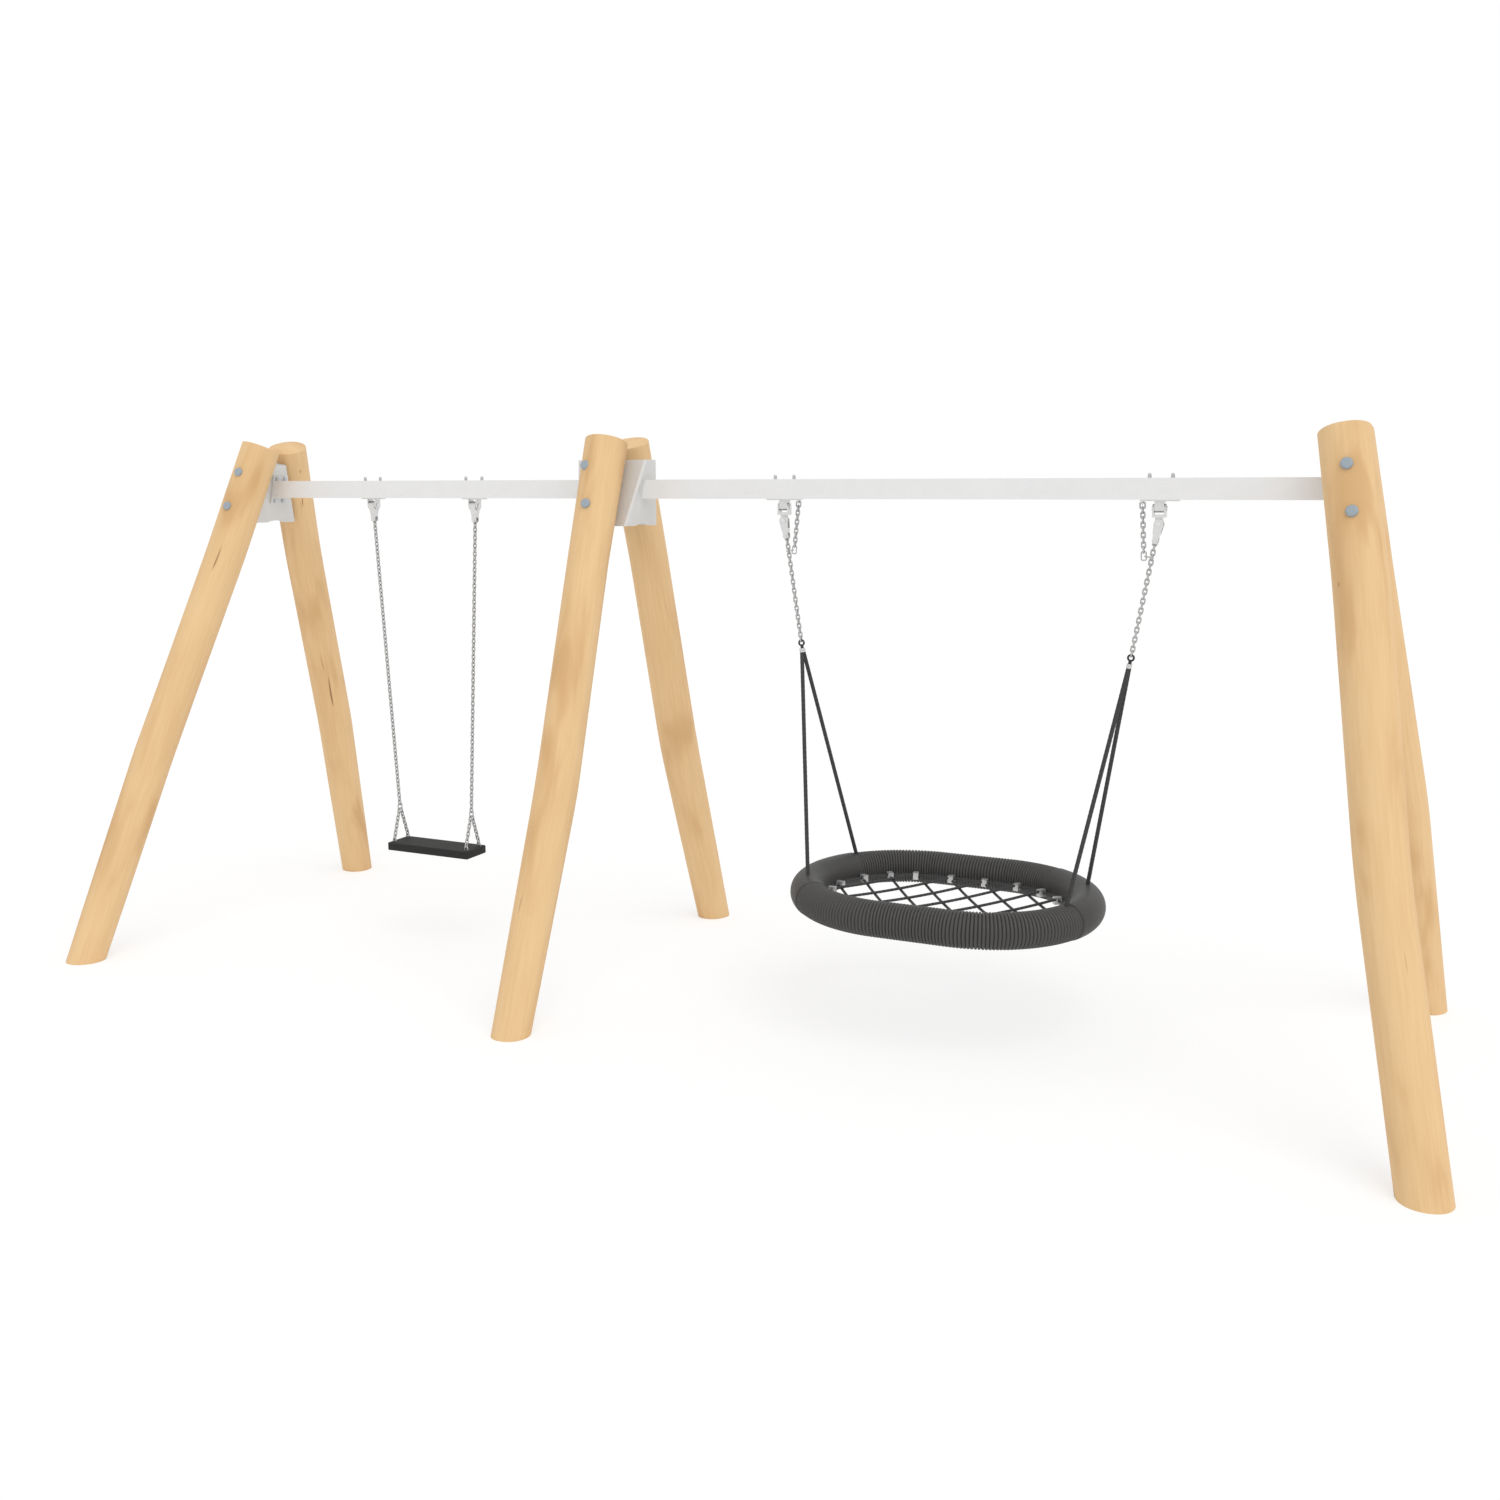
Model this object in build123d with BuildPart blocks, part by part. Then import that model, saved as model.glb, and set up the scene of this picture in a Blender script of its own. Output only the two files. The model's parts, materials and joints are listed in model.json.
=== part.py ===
from build123d import *
from math import acos, asin, atan2, copysign, cos, degrees, hypot, radians, sin, sqrt, tan
import os

# Playground swing set. Millimetres, +Z up, X along the beams, origin on the ground at the middle of the frame.

# A-frames: round logs in front and rear pairs, end frames leaning inwards
left_x = -2840.0
middle_x = -502.0
right_x = 2860.0
end_lean = 10.5
post_slope = 19.0
post_radius = 90.0
post_half_gap = 184.0
post_top_rise = 196.0
post_dome = 12.0
post_shoulder_drop = 300.0
post_bend_height = 950.0
post_bend_radius = 5000.0
# How each log strays, front one first: its top across the frame, its bend and its foot across and outwards
post_tops = {"left": (9.0, -37.0), "middle": (17.0, -7.0), "right": (6.0, 7.0)}
post_bends = {
    "left": ((-14.0, 10.0), (12.0, -2.0)),
    "middle": ((32.0, -6.0), (-25.0, -2.0)),
    "right": ((-27.0, -10.0), (23.0, 4.0)),
}
post_feet = {
    "left": ((-13.0, 8.6), (29.0, -19.0)),
    "middle": ((0.0, -1.0), (0.0, 0.0)),
    "right": ((-7.0, -21.0), (-9.0, 9.4)),
}

# Square beams
beam_z = 2170.0
beam_size = 80.0
beam_wall = 4.0

# Folded brackets between the post tops
bracket_rise = 124.0
bracket_drop = 155.0
bracket_plate = 8.0
bracket_fold = 12.0
arch_radius = 172.0
arch_rise = 9.0
bracket_gap = 0.3
channel_inner = 34.0
channel_outer = 62.0
box_half = 148.0

# Beam flanges, end plates and their bolts
flange_width = 100.0
flange_height = 136.0
flange_thickness = 8.0
flange_bolt_y = 27.0
flange_bolt_z = 55.0
end_plate_thickness = 12.0
end_bolt_pitch = 22.0
beam_bolt_radius = 5.0
beam_bolt_head = 9.0
beam_bolt_head_height = 6.5
hole_clearance = 0.3

# Post bolts with domed caps
post_bolt_radius = 8.0
post_bolt_heights = (55.0, -105.0)
post_bolt_end = 22.0
post_bolt_lift = {"left": 0.0, "middle": 18.0, "right": 0.0}
post_bolt_stagger = {"left": (0.0, 0.0), "middle": (-36.0, 0.0), "right": (0.0, 0.0)}
post_nut_radius = 13.0
post_nut_height = 12.0
cap_radius = 20.5
cap_height = 13.0
cap_seat_depth = 4.0

# Hangers under the beams
hanger_stud_radius = 4.0
cap_nut_radius = 7.5
cap_nut_height = 18.0
pin_radius = 6.0
pin_head_radius = 9.0
pin_head = 3.0
pin_gap = 0.05
side_gap = 0.5
washer_gap = 0.3

seat_bay_x = -1538.5
seat_hanger_half = 287.0
seat_plate = (108.0, 50.0, 5.0)
seat_stud_half = 44.0
seat_lug = 5.0
seat_lug_radius = 19.0
seat_pivot_drop = 29.0
yoke_half_width = 17.0
yoke_foot_half = 12.0
yoke_radius = 20.0
yoke_length = 44.0
bush_wall = 2.5

# Clevis that holds the first link
clevis_width = 22.0
clevis_depth = 27.0
clevis_cheek = 5.0
clevis_crown = 8.0
clevis_drop = 22.0
clevis_radius = 10.0
clevis_pin_radius = 4.0

# Short-link chain
wire = 6.0
link_pitch = 18.4
link_gap = 0.3
link_inner_width = 8.4
seat_chain_links = 75
split_inner = (22.4, 22.0)
split_corner = 5.0
bridle_links = 8
bridle_side = 6.8
bridle_slack = 0.3

# Seat
seat_attach_half = 210.0
seat_eye_y = 51.0
seat_size = (468.0, 160.0, 37.0)
seat_round = 11.0
seat_eye_rise = 18.0
seat_eye_inner = 11.0
insert_size = (452.0, 126.0, 6.0)
insert_depth = 14.0

# Nest hangers: a cardan joint, first pin along the beam, second pin across it
nest_x = 1047.0
nest_hanger_half = 757.0
nest_arm_lean = 9.0
nest_plate = (138.0, 62.0, 5.0)
nest_stud_half = 42.0
block_half = 18.0
block_radius = 15.0
nest_pivot_drop = 27.0
cheek = 6.0
cheek_radius = 17.0
web_top = 22.0
web_thickness = 11.0
sway_drop = 57.0
tongue_half = 8.0
tongue_radius = 14.0
fork_cheek = 5.0
fork_radius = 18.0
fork_foot_half = 13.0
fork_length = 43.0
fork_crown = 11.0
nest_chain_links = 24

# Safety chain beside each nest hanger
safety_x = 62.0
anchor_inner = (12.9, 16.0)
safety_links = 9
safety_tab = 5.0
safety_tab_half = 11.0
safety_hole_radius = 4.0
quick_inner = (13.0, 27.0)
quick_wire = 5.0
quick_corner = 5.0
connector_reach = 20.0
connector_link = 4
connector_gap = 1.0
connector_wire = 5.0
connector_inner_width = 9.0

# Rope eyes, ferrules and ropes
eye_wire = 8.0
eye_hole_radius = 7.0
eye_stem_radius = 6.5
ferrule_drop = 23.0
ferrule_size = (19.0, 36.0, 17.0)
ferrule_round = 1.2
rope_radius = 8.5
rope_gap = 0.3
rope_end_gap = 5.0
rope_side = 9.0

# Nest ring: a steel core in soft covers
ring_shift = -31.0
ring_z = 520.0
ring_straight_half = 146.0
ring_bend = 428.0
core_radius = 21.0
core_wall = 3.0
cover_radius = 72.0
sleeve_radius = 74.0
attach_angles = {-1: (26.0, 40.0), 1: (27.0, 24.0)}
sleeve_angles = (-22.0, 57.0)
left_sleeve_angles = (-40.0, 36.0)

# Net inside the ring
net_drop = 18.0
net_radius = 6.0
border_inset = 89.0
net_spacing = 150.0
net_rows = 7
net_layer = 6.2
net_end_gap = 12.5
clamp_size = (34.0, 24.0, 30.0)
clamp_shift = -4.0
clamp_corner = 3.0
clamp_stud_radius = 4.0

beam_bottom = beam_z - beam_size / 2
beam_top = beam_z + beam_size / 2
link_inner_length = link_pitch + link_gap
link_reach = link_inner_length / 2 + wire / 2
link_seat = link_inner_length / 2 - wire / 2 - link_gap
slope = tan(radians(post_slope))
lean = tan(radians(end_lean))


class Frame:
    """One A-frame: where it stands, how it leans and how high along its own plane the beam meets it."""

    def __init__(self, name, foot_x, lean_angle):
        self.name = name
        self.location = Location((foot_x, 0, 0), (0, lean_angle, 0))
        self.height = beam_z / cos(radians(lean_angle))


class Post:
    """One log of an A-frame, front or rear, in the frame's own coordinates."""

    def __init__(self, frame, place):
        index = 0 if place == "front" else 1
        self.frame = frame
        self.place = place
        self.side = 2 * index - 1
        self.top_x = post_tops[frame.name][index]
        self.bend = post_bends[frame.name][index]
        self.foot = post_feet[frame.name][index]
        self.lift = post_bolt_lift[frame.name]
        self.stagger = post_bolt_stagger[frame.name][index]

    def axis_point(self, height_over_beam, across, outwards):
        """A point near the log's straight line, moved across the frame and outwards."""
        y = self.side * (post_y(height_over_beam) + outwards)
        return Vector(across, y, self.frame.height + height_over_beam)

    def bolt_seats(self):
        """Each bolt's plane, level with the log's axis and facing out, with its cap's seat above the plane."""
        facing = Vector(0, self.side * cos(radians(post_slope)), sin(radians(post_slope)))
        seats = []
        for height, shift in zip(post_bolt_heights, (self.stagger, 0)):
            origin = self.axis_point(height + self.lift, self.top_x + shift, 0)
            plane = Plane(origin=origin, z_dir=facing)
            seats.append((plane, sqrt(post_radius**2 - shift**2) - cap_seat_depth))
        return seats


frames = [
    Frame("left", left_x, end_lean),
    Frame("middle", middle_x, 0.0),
    Frame("right", right_x, -end_lean),
]
posts = [Post(frame, place) for frame in frames for place in ("front", "rear")]


def write(shape, name):
    """Label a finished piece and write its STEP file."""
    shape.label = name
    export_step(shape, f"parts/{name}.step")


def group(solids):
    """Several equal, separate solids as one piece group."""
    return Compound([solid for shape in solids for solid in shape.solids()])


def rod(start, end, radius):
    """A round bar between two points."""
    axis = Vector(*end) - Vector(*start)
    with BuildPart() as bar:
        with BuildSketch(Plane(origin=start, z_dir=axis)):
            Circle(radius)
        extrude(amount=axis.length)
    return bar.part


def post_y(height_over_beam):
    """Distance of a post's axis from the frame's middle, at a height over the beam's axis."""
    return post_half_gap - height_over_beam * slope


def make_post(post):
    """A log: a lower run, a gentle bend, an upper run and a domed top, bored for its two bolts."""
    top = post.axis_point(post_top_rise, post.top_x, 0)
    shoulder = post.axis_point(-post_shoulder_drop, post.top_x, 0)
    bend = post.axis_point(post_bend_height - post.frame.height, *post.bend)
    foot = post.axis_point(-post.frame.height, *post.foot)
    buried = foot + (foot - bend) * 0.15
    up = (top - shoulder).normalized()
    dome_radius = (post_radius**2 + post_dome**2) / (2 * post_dome)
    dome_latitude = degrees(acos(post_radius / dome_radius))
    with BuildPart() as log:
        with BuildLine() as path:
            FilletPolyline(buried, bend, shoulder, top, radius=post_bend_radius)
        with BuildSketch(Plane(origin=buried, z_dir=path.line % 0)):
            Circle(post_radius)
        sweep()
        with Locations(Plane(origin=top - up * (dome_radius - post_dome), z_dir=up).location):
            Sphere(dome_radius, arc_size1=dome_latitude, arc_size2=90)
        for plane, seat in post.bolt_seats():
            with BuildSketch(plane):
                Circle(post_bolt_radius + hole_clearance)
            extrude(amount=2 * post_radius, both=True, mode=Mode.SUBTRACT)
            with BuildSketch(plane.offset(seat)):
                Circle(cap_radius + hole_clearance)
            extrude(amount=post_radius, mode=Mode.SUBTRACT)
    with BuildPart() as placed:
        with Locations(post.frame.location):
            add(log.part)
        split(bisect_by=Plane.XY, keep=Keep.TOP)
    return placed.part


def bracket_half(height, inset):
    """Half width of the bracket at a height over the beam's axis, inset along the plate's normal."""
    return post_y(height) - (post_radius + bracket_gap + inset) / cos(radians(post_slope))


def trapezoid(height, inset, spare):
    """Corners of the bracket's outline across the beams, running past its ends by a spare length."""
    low = -bracket_drop - spare
    high = bracket_rise + spare
    return [
        (-bracket_half(low, inset), height + low),
        (bracket_half(low, inset), height + low),
        (bracket_half(high, inset), height + high),
        (-bracket_half(high, inset), height + high),
    ]


def wedge(height, half, spare):
    """Corners of the middle bracket's outline along the beams, leaning out at the top."""
    low = -bracket_drop - spare
    high = bracket_rise + spare
    return [
        (-half - low * lean, height + low),
        (half + low * lean, height + low),
        (half + high * lean, height + high),
        (-half - high * lean, height + high),
    ]


def post_bores(frame):
    """Solids of the holes that the post bolts need through both side plates."""
    bores = []
    for post in posts:
        if post.frame is frame:
            for plane, _ in post.bolt_seats():
                inner = plane.origin - plane.z_dir * (2 * post_radius)
                bores.append(rod(plane.origin, inner, post_bolt_radius + hole_clearance))
    return bores


def arch(height):
    """Bar along the beams that hollows the lower edge of a bracket's faces."""
    centre = height - bracket_drop - arch_radius + arch_rise
    return rod((-2 * box_half, 0, centre), (2 * box_half, 0, centre), arch_radius)


def local_face(frame, offset):
    """Plane beside an end frame's own plane, centred where the beam's axis meets it, facing the bay."""
    inward = 1 if frame.name == "left" else -1
    origin = (inward * offset, 0, frame.height + offset * lean)
    return Plane(origin=origin, x_dir=(0, 1, 0), z_dir=(inward, 0, 0))


def channel_solid(height, inward, inset, spare):
    """The channel bracket's shape, filled, inset by a plate and run past its ends by a spare length."""
    with BuildPart() as solid:
        with BuildSketch(Plane.YZ.offset(-inward * (channel_outer + spare))):
            Polygon(*trapezoid(height, inset, spare), align=None)
        extrude(amount=inward * (channel_outer + spare + channel_inner - inset))
        web = solid.faces().sort_by(Axis((0, 0, 0), (inward, 0, 0)))[-1]
        fillet(web.edges().filter_by(Axis.Y, reverse=True), bracket_fold - inset)
    return solid.part


def make_channel_bracket(frame, inward):
    """End bracket: a channel folded from plate, its web towards the bay."""
    with BuildPart() as channel:
        add(channel_solid(frame.height, inward, 0, 0))
        add(channel_solid(frame.height, inward, bracket_plate, 1.0), mode=Mode.SUBTRACT)
        add(post_bores(frame), mode=Mode.SUBTRACT)
        add(arch(frame.height), mode=Mode.SUBTRACT)
        with BuildSketch(local_face(frame, channel_inner)):
            with GridLocations(2 * flange_bolt_y, 2 * flange_bolt_z, 2, 2):
                Circle(beam_bolt_radius + hole_clearance)
        extrude(amount=-2 * bracket_plate, mode=Mode.SUBTRACT)
    return channel.part.moved(frame.location)


def wedge_solid(height, inset, spare):
    """The middle bracket's shape, filled, inset by a plate and run past its ends by a spare length."""
    with BuildPart() as solid:
        with BuildSketch(Plane.YZ):
            Polygon(*trapezoid(height, inset, spare), align=None)
        extrude(amount=2 * box_half, both=True)
        with BuildSketch(Plane.XZ):
            Polygon(*wedge(height, box_half - inset, spare), align=None)
        extrude(amount=2 * box_half, both=True, mode=Mode.INTERSECT)
        folds = solid.edges().filter_by(lambda edge: abs(edge.tangent_at(0).Z) > 0.5)
        fillet(folds, bracket_fold - inset)
    return solid.part


def face_plane(sign):
    """Outer face of the middle bracket on one side, in the bracket's own coordinates."""
    origin = (sign * box_half, 0, frames[1].height)
    return Plane(origin=origin, x_dir=(0, 1, 0), z_dir=(sign * cos(radians(end_lean)), 0, -sin(radians(end_lean))))


def make_box_bracket(frame):
    """Middle bracket: a box open above and below, with a leaning face for each beam."""
    outer = wedge_solid(frame.height, 0, 0)
    inner = wedge_solid(frame.height, bracket_plate, 1.0)
    with BuildPart() as box:
        add(outer)
        add(inner, mode=Mode.SUBTRACT)
        add(post_bores(frame), mode=Mode.SUBTRACT)
        add(arch(frame.height), mode=Mode.SUBTRACT)
        for sign in (-1, 1):
            with BuildSketch(face_plane(sign)):
                with GridLocations(2 * end_bolt_pitch, 2 * end_bolt_pitch, 2, 2):
                    Circle(beam_bolt_radius + hole_clearance)
            extrude(amount=-2 * bracket_plate, mode=Mode.SUBTRACT)
    return box.part.moved(frame.location)


def outer_edge(cap, plane):
    """The edge of a cap farthest out along its bolt."""
    return cap.edges().filter_by(GeomType.CIRCLE).sort_by(Axis(plane.origin, plane.z_dir))[-1]


def make_post_bolts():
    """Bolts, nuts and caps of the posts, two to each post."""
    bolts = []
    nuts = []
    caps = []
    inner_face = post_radius + bracket_gap + bracket_plate
    for post in posts:
        place = post.frame.location
        for plane, seat in post.bolt_seats():
            with BuildPart() as bolt:
                with BuildSketch(plane.offset(seat)):
                    Circle(post_bolt_radius)
                extrude(amount=-(seat + inner_face + post_bolt_end))
            with BuildPart() as nut:
                with BuildSketch(plane.offset(-inner_face)):
                    RegularPolygon(post_nut_radius, 6)
                    Circle(post_bolt_radius, mode=Mode.SUBTRACT)
                extrude(amount=-post_nut_height)
            with BuildPart() as cap:
                with BuildSketch(plane.offset(seat)):
                    Circle(cap_radius)
                extrude(amount=cap_height)
                fillet(outer_edge(cap, plane), cap_height * 0.6)
            bolts.append(bolt.part.moved(place))
            nuts.append(nut.part.moved(place))
            caps.append(cap.part.moved(place))
    return bolts, nuts, caps


# ---- beams ------------------------------------------------------------------------------------------------


def frame_face(frame, offset):
    """World plane parallel to an end frame, a distance along its normal towards the bay."""
    return Plane(frame.location * local_face(frame, offset).location)


def middle_face(sign):
    """World plane of the middle bracket's face on one side."""
    return Plane(frames[1].location * face_plane(sign).location)


def hanger_places(bay):
    """Centres of the two hangers of a bay, left first."""
    if bay == "left":
        return [seat_bay_x - seat_hanger_half, seat_bay_x + seat_hanger_half]
    return [nest_x - nest_hanger_half, nest_x + nest_hanger_half]


def make_beam(bay):
    """Square tube cut along the leaning faces at both ends, drilled for the hanger studs."""
    end_frame = frames[0] if bay == "left" else frames[2]
    outer_cut = frame_face(end_frame, channel_inner + flange_thickness)
    inner_cut = middle_face(-1 if bay == "left" else 1)
    centre = (outer_cut.origin.X + inner_cut.origin.X) / 2
    length = abs(outer_cut.origin.X - inner_cut.origin.X) + 2 * beam_size
    stud_half = seat_stud_half if bay == "left" else nest_stud_half
    with BuildPart() as tube:
        with BuildSketch(Plane.YZ.offset(centre - length / 2)):
            with Locations((0, beam_z)):
                Rectangle(beam_size, beam_size)
                Rectangle(beam_size - 2 * beam_wall, beam_size - 2 * beam_wall, mode=Mode.SUBTRACT)
        extrude(amount=length)
        split(bisect_by=outer_cut, keep=Keep.TOP)
        split(bisect_by=inner_cut, keep=Keep.TOP)
        for x in hanger_places(bay):
            with BuildSketch(Plane.XY.offset(beam_bottom)):
                with Locations((x - stud_half, 0), (x + stud_half, 0)):
                    Circle(hanger_stud_radius + hole_clearance)
            extrude(amount=beam_size, mode=Mode.SUBTRACT)
    return tube.part


def make_beam_ends():
    """Flanges at the end frames, end plates at the middle one, and the bolts of both."""
    flanges = []
    plates = []
    bolts = []
    for bay, end_frame, sign in (("left", frames[0], -1), ("right", frames[2], 1)):
        face = frame_face(end_frame, channel_inner)
        with BuildPart() as flange:
            with BuildSketch(face):
                Rectangle(flange_width, flange_height)
                with GridLocations(2 * flange_bolt_y, 2 * flange_bolt_z, 2, 2):
                    Circle(beam_bolt_radius + hole_clearance, mode=Mode.SUBTRACT)
            extrude(amount=flange_thickness)
        flanges.append(flange.part)
        inner = beam_size / 2 - beam_wall - hole_clearance
        with BuildPart() as plate:
            with BuildSketch(Plane.YZ.offset(middle_x)):
                with Locations((0, beam_z)):
                    Rectangle(2 * inner, 2 * inner)
            extrude(amount=sign * 2 * box_half)
            split(bisect_by=middle_face(sign), keep=Keep.TOP)
            split(bisect_by=middle_face(sign).offset(end_plate_thickness), keep=Keep.BOTTOM)
            with BuildSketch(middle_face(sign)):
                with GridLocations(2 * end_bolt_pitch, 2 * end_bolt_pitch, 2, 2):
                    Circle(beam_bolt_radius + hole_clearance)
            extrude(amount=end_plate_thickness, mode=Mode.SUBTRACT)
        plates.append(plate.part)
        grip = flange_thickness + bracket_plate
        bolts += beam_bolts(face.offset(flange_thickness), flange_bolt_y, flange_bolt_z, grip)
        back = middle_face(sign).offset(-bracket_plate)
        seat = Plane(origin=back.origin, x_dir=back.x_dir, z_dir=-back.z_dir)
        bolts += beam_bolts(seat, end_bolt_pitch, end_bolt_pitch, bracket_plate + end_plate_thickness)
    return flanges, plates, bolts


def beam_bolts(seat, half_x, half_y, grip):
    """Four hexagon bolts whose heads sit on a plane and whose shanks run back through a grip."""
    solids = []
    for x in (-half_x, half_x):
        for y in (-half_y, half_y):
            origin = seat.from_local_coords((x, y, 0))
            with BuildPart() as bolt:
                with BuildSketch(Plane(origin=origin, x_dir=seat.x_dir, z_dir=seat.z_dir)):
                    RegularPolygon(beam_bolt_head, 6)
                extrude(amount=beam_bolt_head_height)
                with BuildSketch(Plane(origin=origin, x_dir=seat.x_dir, z_dir=seat.z_dir)):
                    Circle(beam_bolt_radius)
                extrude(amount=-grip)
            solids.append(bolt.part)
    return solids


# ---- hangers of the seat swing ----------------------------------------------------------------------------

seat_pivot_z = beam_bottom - seat_plate[2] - seat_pivot_drop


def hanger_base(x, plate, stud_half):
    """Plate under a beam with two studs that pass through it."""
    length, width, thickness = plate
    with BuildPart() as base:
        with BuildSketch(Plane.XY.offset(beam_bottom - thickness)):
            with Locations((x, 0)):
                RectangleRounded(length, width, thickness)
        extrude(amount=thickness)
        with BuildSketch(Plane.XY.offset(beam_bottom)):
            with Locations((x - stud_half, 0), (x + stud_half, 0)):
                Circle(hanger_stud_radius)
        extrude(amount=beam_size + cap_nut_height / 2)
    return base.part


def make_seat_hanger(x):
    """Hanger plate with two lugs that hold the pivot pin."""
    inner = yoke_half_width + side_gap
    plate_z = beam_bottom - seat_plate[2]
    with BuildPart() as hanger:
        add(hanger_base(x, seat_plate, seat_stud_half))
        for sign in (-1, 1):
            with BuildSketch(Plane.YZ.offset(x + sign * inner)):
                with Locations((0, seat_pivot_z)):
                    Circle(seat_lug_radius)
                with Locations((0, (seat_pivot_z + plate_z) / 2)):
                    Rectangle(2 * seat_lug_radius, plate_z - seat_pivot_z)
                with Locations((0, seat_pivot_z)):
                    Circle(pin_radius + pin_gap, mode=Mode.SUBTRACT)
            extrude(amount=sign * seat_lug)
    return hanger.part


def make_cap_nut(x):
    """Domed cap nut on the beam, bored for its stud."""
    with BuildPart() as nut:
        with BuildSketch(Plane.XY.offset(beam_top)):
            with Locations((x, 0)):
                RegularPolygon(cap_nut_radius, 6)
        extrude(amount=cap_nut_height / 2)
        with BuildSketch(Plane.XY.offset(beam_top)):
            with Locations((x, 0)):
                Circle(cap_nut_radius * cos(radians(30)))
        extrude(amount=cap_nut_height)
        fillet(nut.faces().sort_by(Axis.Z)[-1].edges(), cap_nut_radius * 0.6)
        with BuildSketch(Plane.XY.offset(beam_top)):
            with Locations((x, 0)):
                Circle(hanger_stud_radius + pin_gap)
        extrude(amount=cap_nut_height / 2 + washer_gap, mode=Mode.SUBTRACT)
    return nut.part


def headed_pin(centre, direction, half_length, radius):
    """Pin with a head at each end, its shank reaching half_length to both sides."""
    with BuildPart() as pin:
        with BuildSketch(Plane(origin=centre, z_dir=direction)):
            Circle(radius)
        extrude(amount=half_length, both=True)
        for sign in (-1, 1):
            face = Plane(origin=Vector(*centre) + Vector(*direction) * (sign * half_length), z_dir=direction)
            with BuildSketch(face):
                Circle(radius * pin_head_radius / pin_radius)
            extrude(amount=sign * pin_head)
    return pin.part


def taper_face(radius, half, drop, z):
    """Face of a round head about (0, z) that tapers by tangents to a flat foot below."""
    touch_angle = atan2(-drop, half) + acos(radius / hypot(half, drop))
    touch = (radius * cos(touch_angle), z + radius * sin(touch_angle))
    mirrored = (-touch[0], touch[1])
    with BuildSketch() as outline:
        with BuildLine():
            ThreePointArc(touch, (0, z + radius), mirrored)
            Polyline(mirrored, (-half, z - drop), (half, z - drop), touch)
        make_face()
    return outline.sketch


def make_seat_yoke(x):
    """Swinging yoke: a barrel round the pivot that tapers to the clevis."""
    foot = seat_pivot_z - yoke_length
    with BuildPart() as yoke:
        with BuildSketch(Plane.YZ.offset(x)):
            add(taper_face(yoke_radius, yoke_foot_half, yoke_length, seat_pivot_z))
        extrude(amount=yoke_half_width, both=True)
        with BuildSketch(Plane.XZ):
            Polygon(
                (x - yoke_half_width, seat_pivot_z + yoke_radius),
                (x - yoke_half_width, seat_pivot_z),
                (x - yoke_foot_half, foot),
                (x + yoke_foot_half, foot),
                (x + yoke_half_width, seat_pivot_z),
                (x + yoke_half_width, seat_pivot_z + yoke_radius),
                align=None,
            )
        extrude(amount=2 * yoke_radius, both=True, mode=Mode.INTERSECT)
        with BuildSketch(Plane.YZ.offset(x)):
            with Locations((0, seat_pivot_z)):
                Circle(pin_radius + pin_gap + bush_wall)
        extrude(amount=2 * yoke_half_width, both=True, mode=Mode.SUBTRACT)
    return yoke.part


def make_bush(x):
    """Plain bush pressed into a yoke, running on the pivot pin."""
    with BuildPart() as bush:
        with BuildSketch(Plane.YZ.offset(x)):
            with Locations((0, seat_pivot_z)):
                Circle(pin_radius + pin_gap + bush_wall)
                Circle(pin_radius + pin_gap, mode=Mode.SUBTRACT)
        extrude(amount=yoke_half_width, both=True)
    return bush.part


def make_clevis(place):
    """U-shaped clevis below a plane's origin and the pin across its two cheeks."""
    with BuildPart() as clevis:
        with BuildSketch(Plane.XZ):
            with Locations((0, -clevis_drop / 2)):
                Rectangle(clevis_width, clevis_drop)
            with Locations((0, -clevis_drop)):
                Rectangle(clevis_width, 2 * clevis_radius - 2)
        extrude(amount=clevis_depth / 2, both=True)
        fillet(clevis.faces().sort_by(Axis.Z)[0].edges().filter_by(Axis.Y), clevis_radius - 2)
        gap = clevis_depth - 2 * clevis_cheek
        with BuildSketch(Plane.XZ):
            with Locations((0, -clevis_crown - clevis_drop)):
                Rectangle(clevis_width, 2 * clevis_drop)
        extrude(amount=gap / 2, both=True, mode=Mode.SUBTRACT)
        with BuildSketch(Plane.XZ):
            with Locations((0, -clevis_drop)):
                Circle(clevis_pin_radius + pin_gap)
        extrude(amount=clevis_depth, both=True, mode=Mode.SUBTRACT)
    pin = headed_pin((0, 0, -clevis_drop), (0, 1, 0), clevis_depth / 2 + washer_gap, clevis_pin_radius)
    return clevis.part.moved(place.location), pin.moved(place.location)


# ---- chain ------------------------------------------------------------------------------------------------


def wire_loop(inner_width, inner_length, thickness, corner):
    """A closed wire link in the XZ plane, long way up, with rounded corners."""
    half = (inner_width + thickness) / 2
    reach = (inner_length + thickness) / 2
    flat = half - corner
    rise = reach - corner
    with BuildPart() as loop:
        with BuildLine(Plane.XZ) as path:
            Line((half, -rise), (half, rise))
            CenterArc((flat, rise), corner, 0, 90)
            if flat > 0:
                Line((flat, reach), (-flat, reach))
            CenterArc((-flat, rise), corner, 90, 90)
            Line((-half, rise), (-half, -rise))
            CenterArc((-flat, -rise), corner, 180, 90)
            if flat > 0:
                Line((-flat, -reach), (flat, -reach))
            CenterArc((flat, -rise), corner, 270, 90)
        with BuildSketch(Plane(origin=path.line @ 0, z_dir=path.line % 0)):
            Circle(thickness / 2)
        sweep()
    return loop.part


def chain_link():
    """One short link with round ends."""
    return wire_loop(link_inner_width, link_inner_length, wire, (link_inner_width + wire) / 2)


def link_place(centre, along, turned):
    """Where a link lies: its long way along the chain, its hole across the beam unless it is turned."""
    across = Vector(0, 1, 0)
    side = across.cross(along).normalized()
    width = side.cross(along).normalized() if turned else side
    return Plane(origin=centre, x_dir=width, z_dir=along).location


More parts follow.
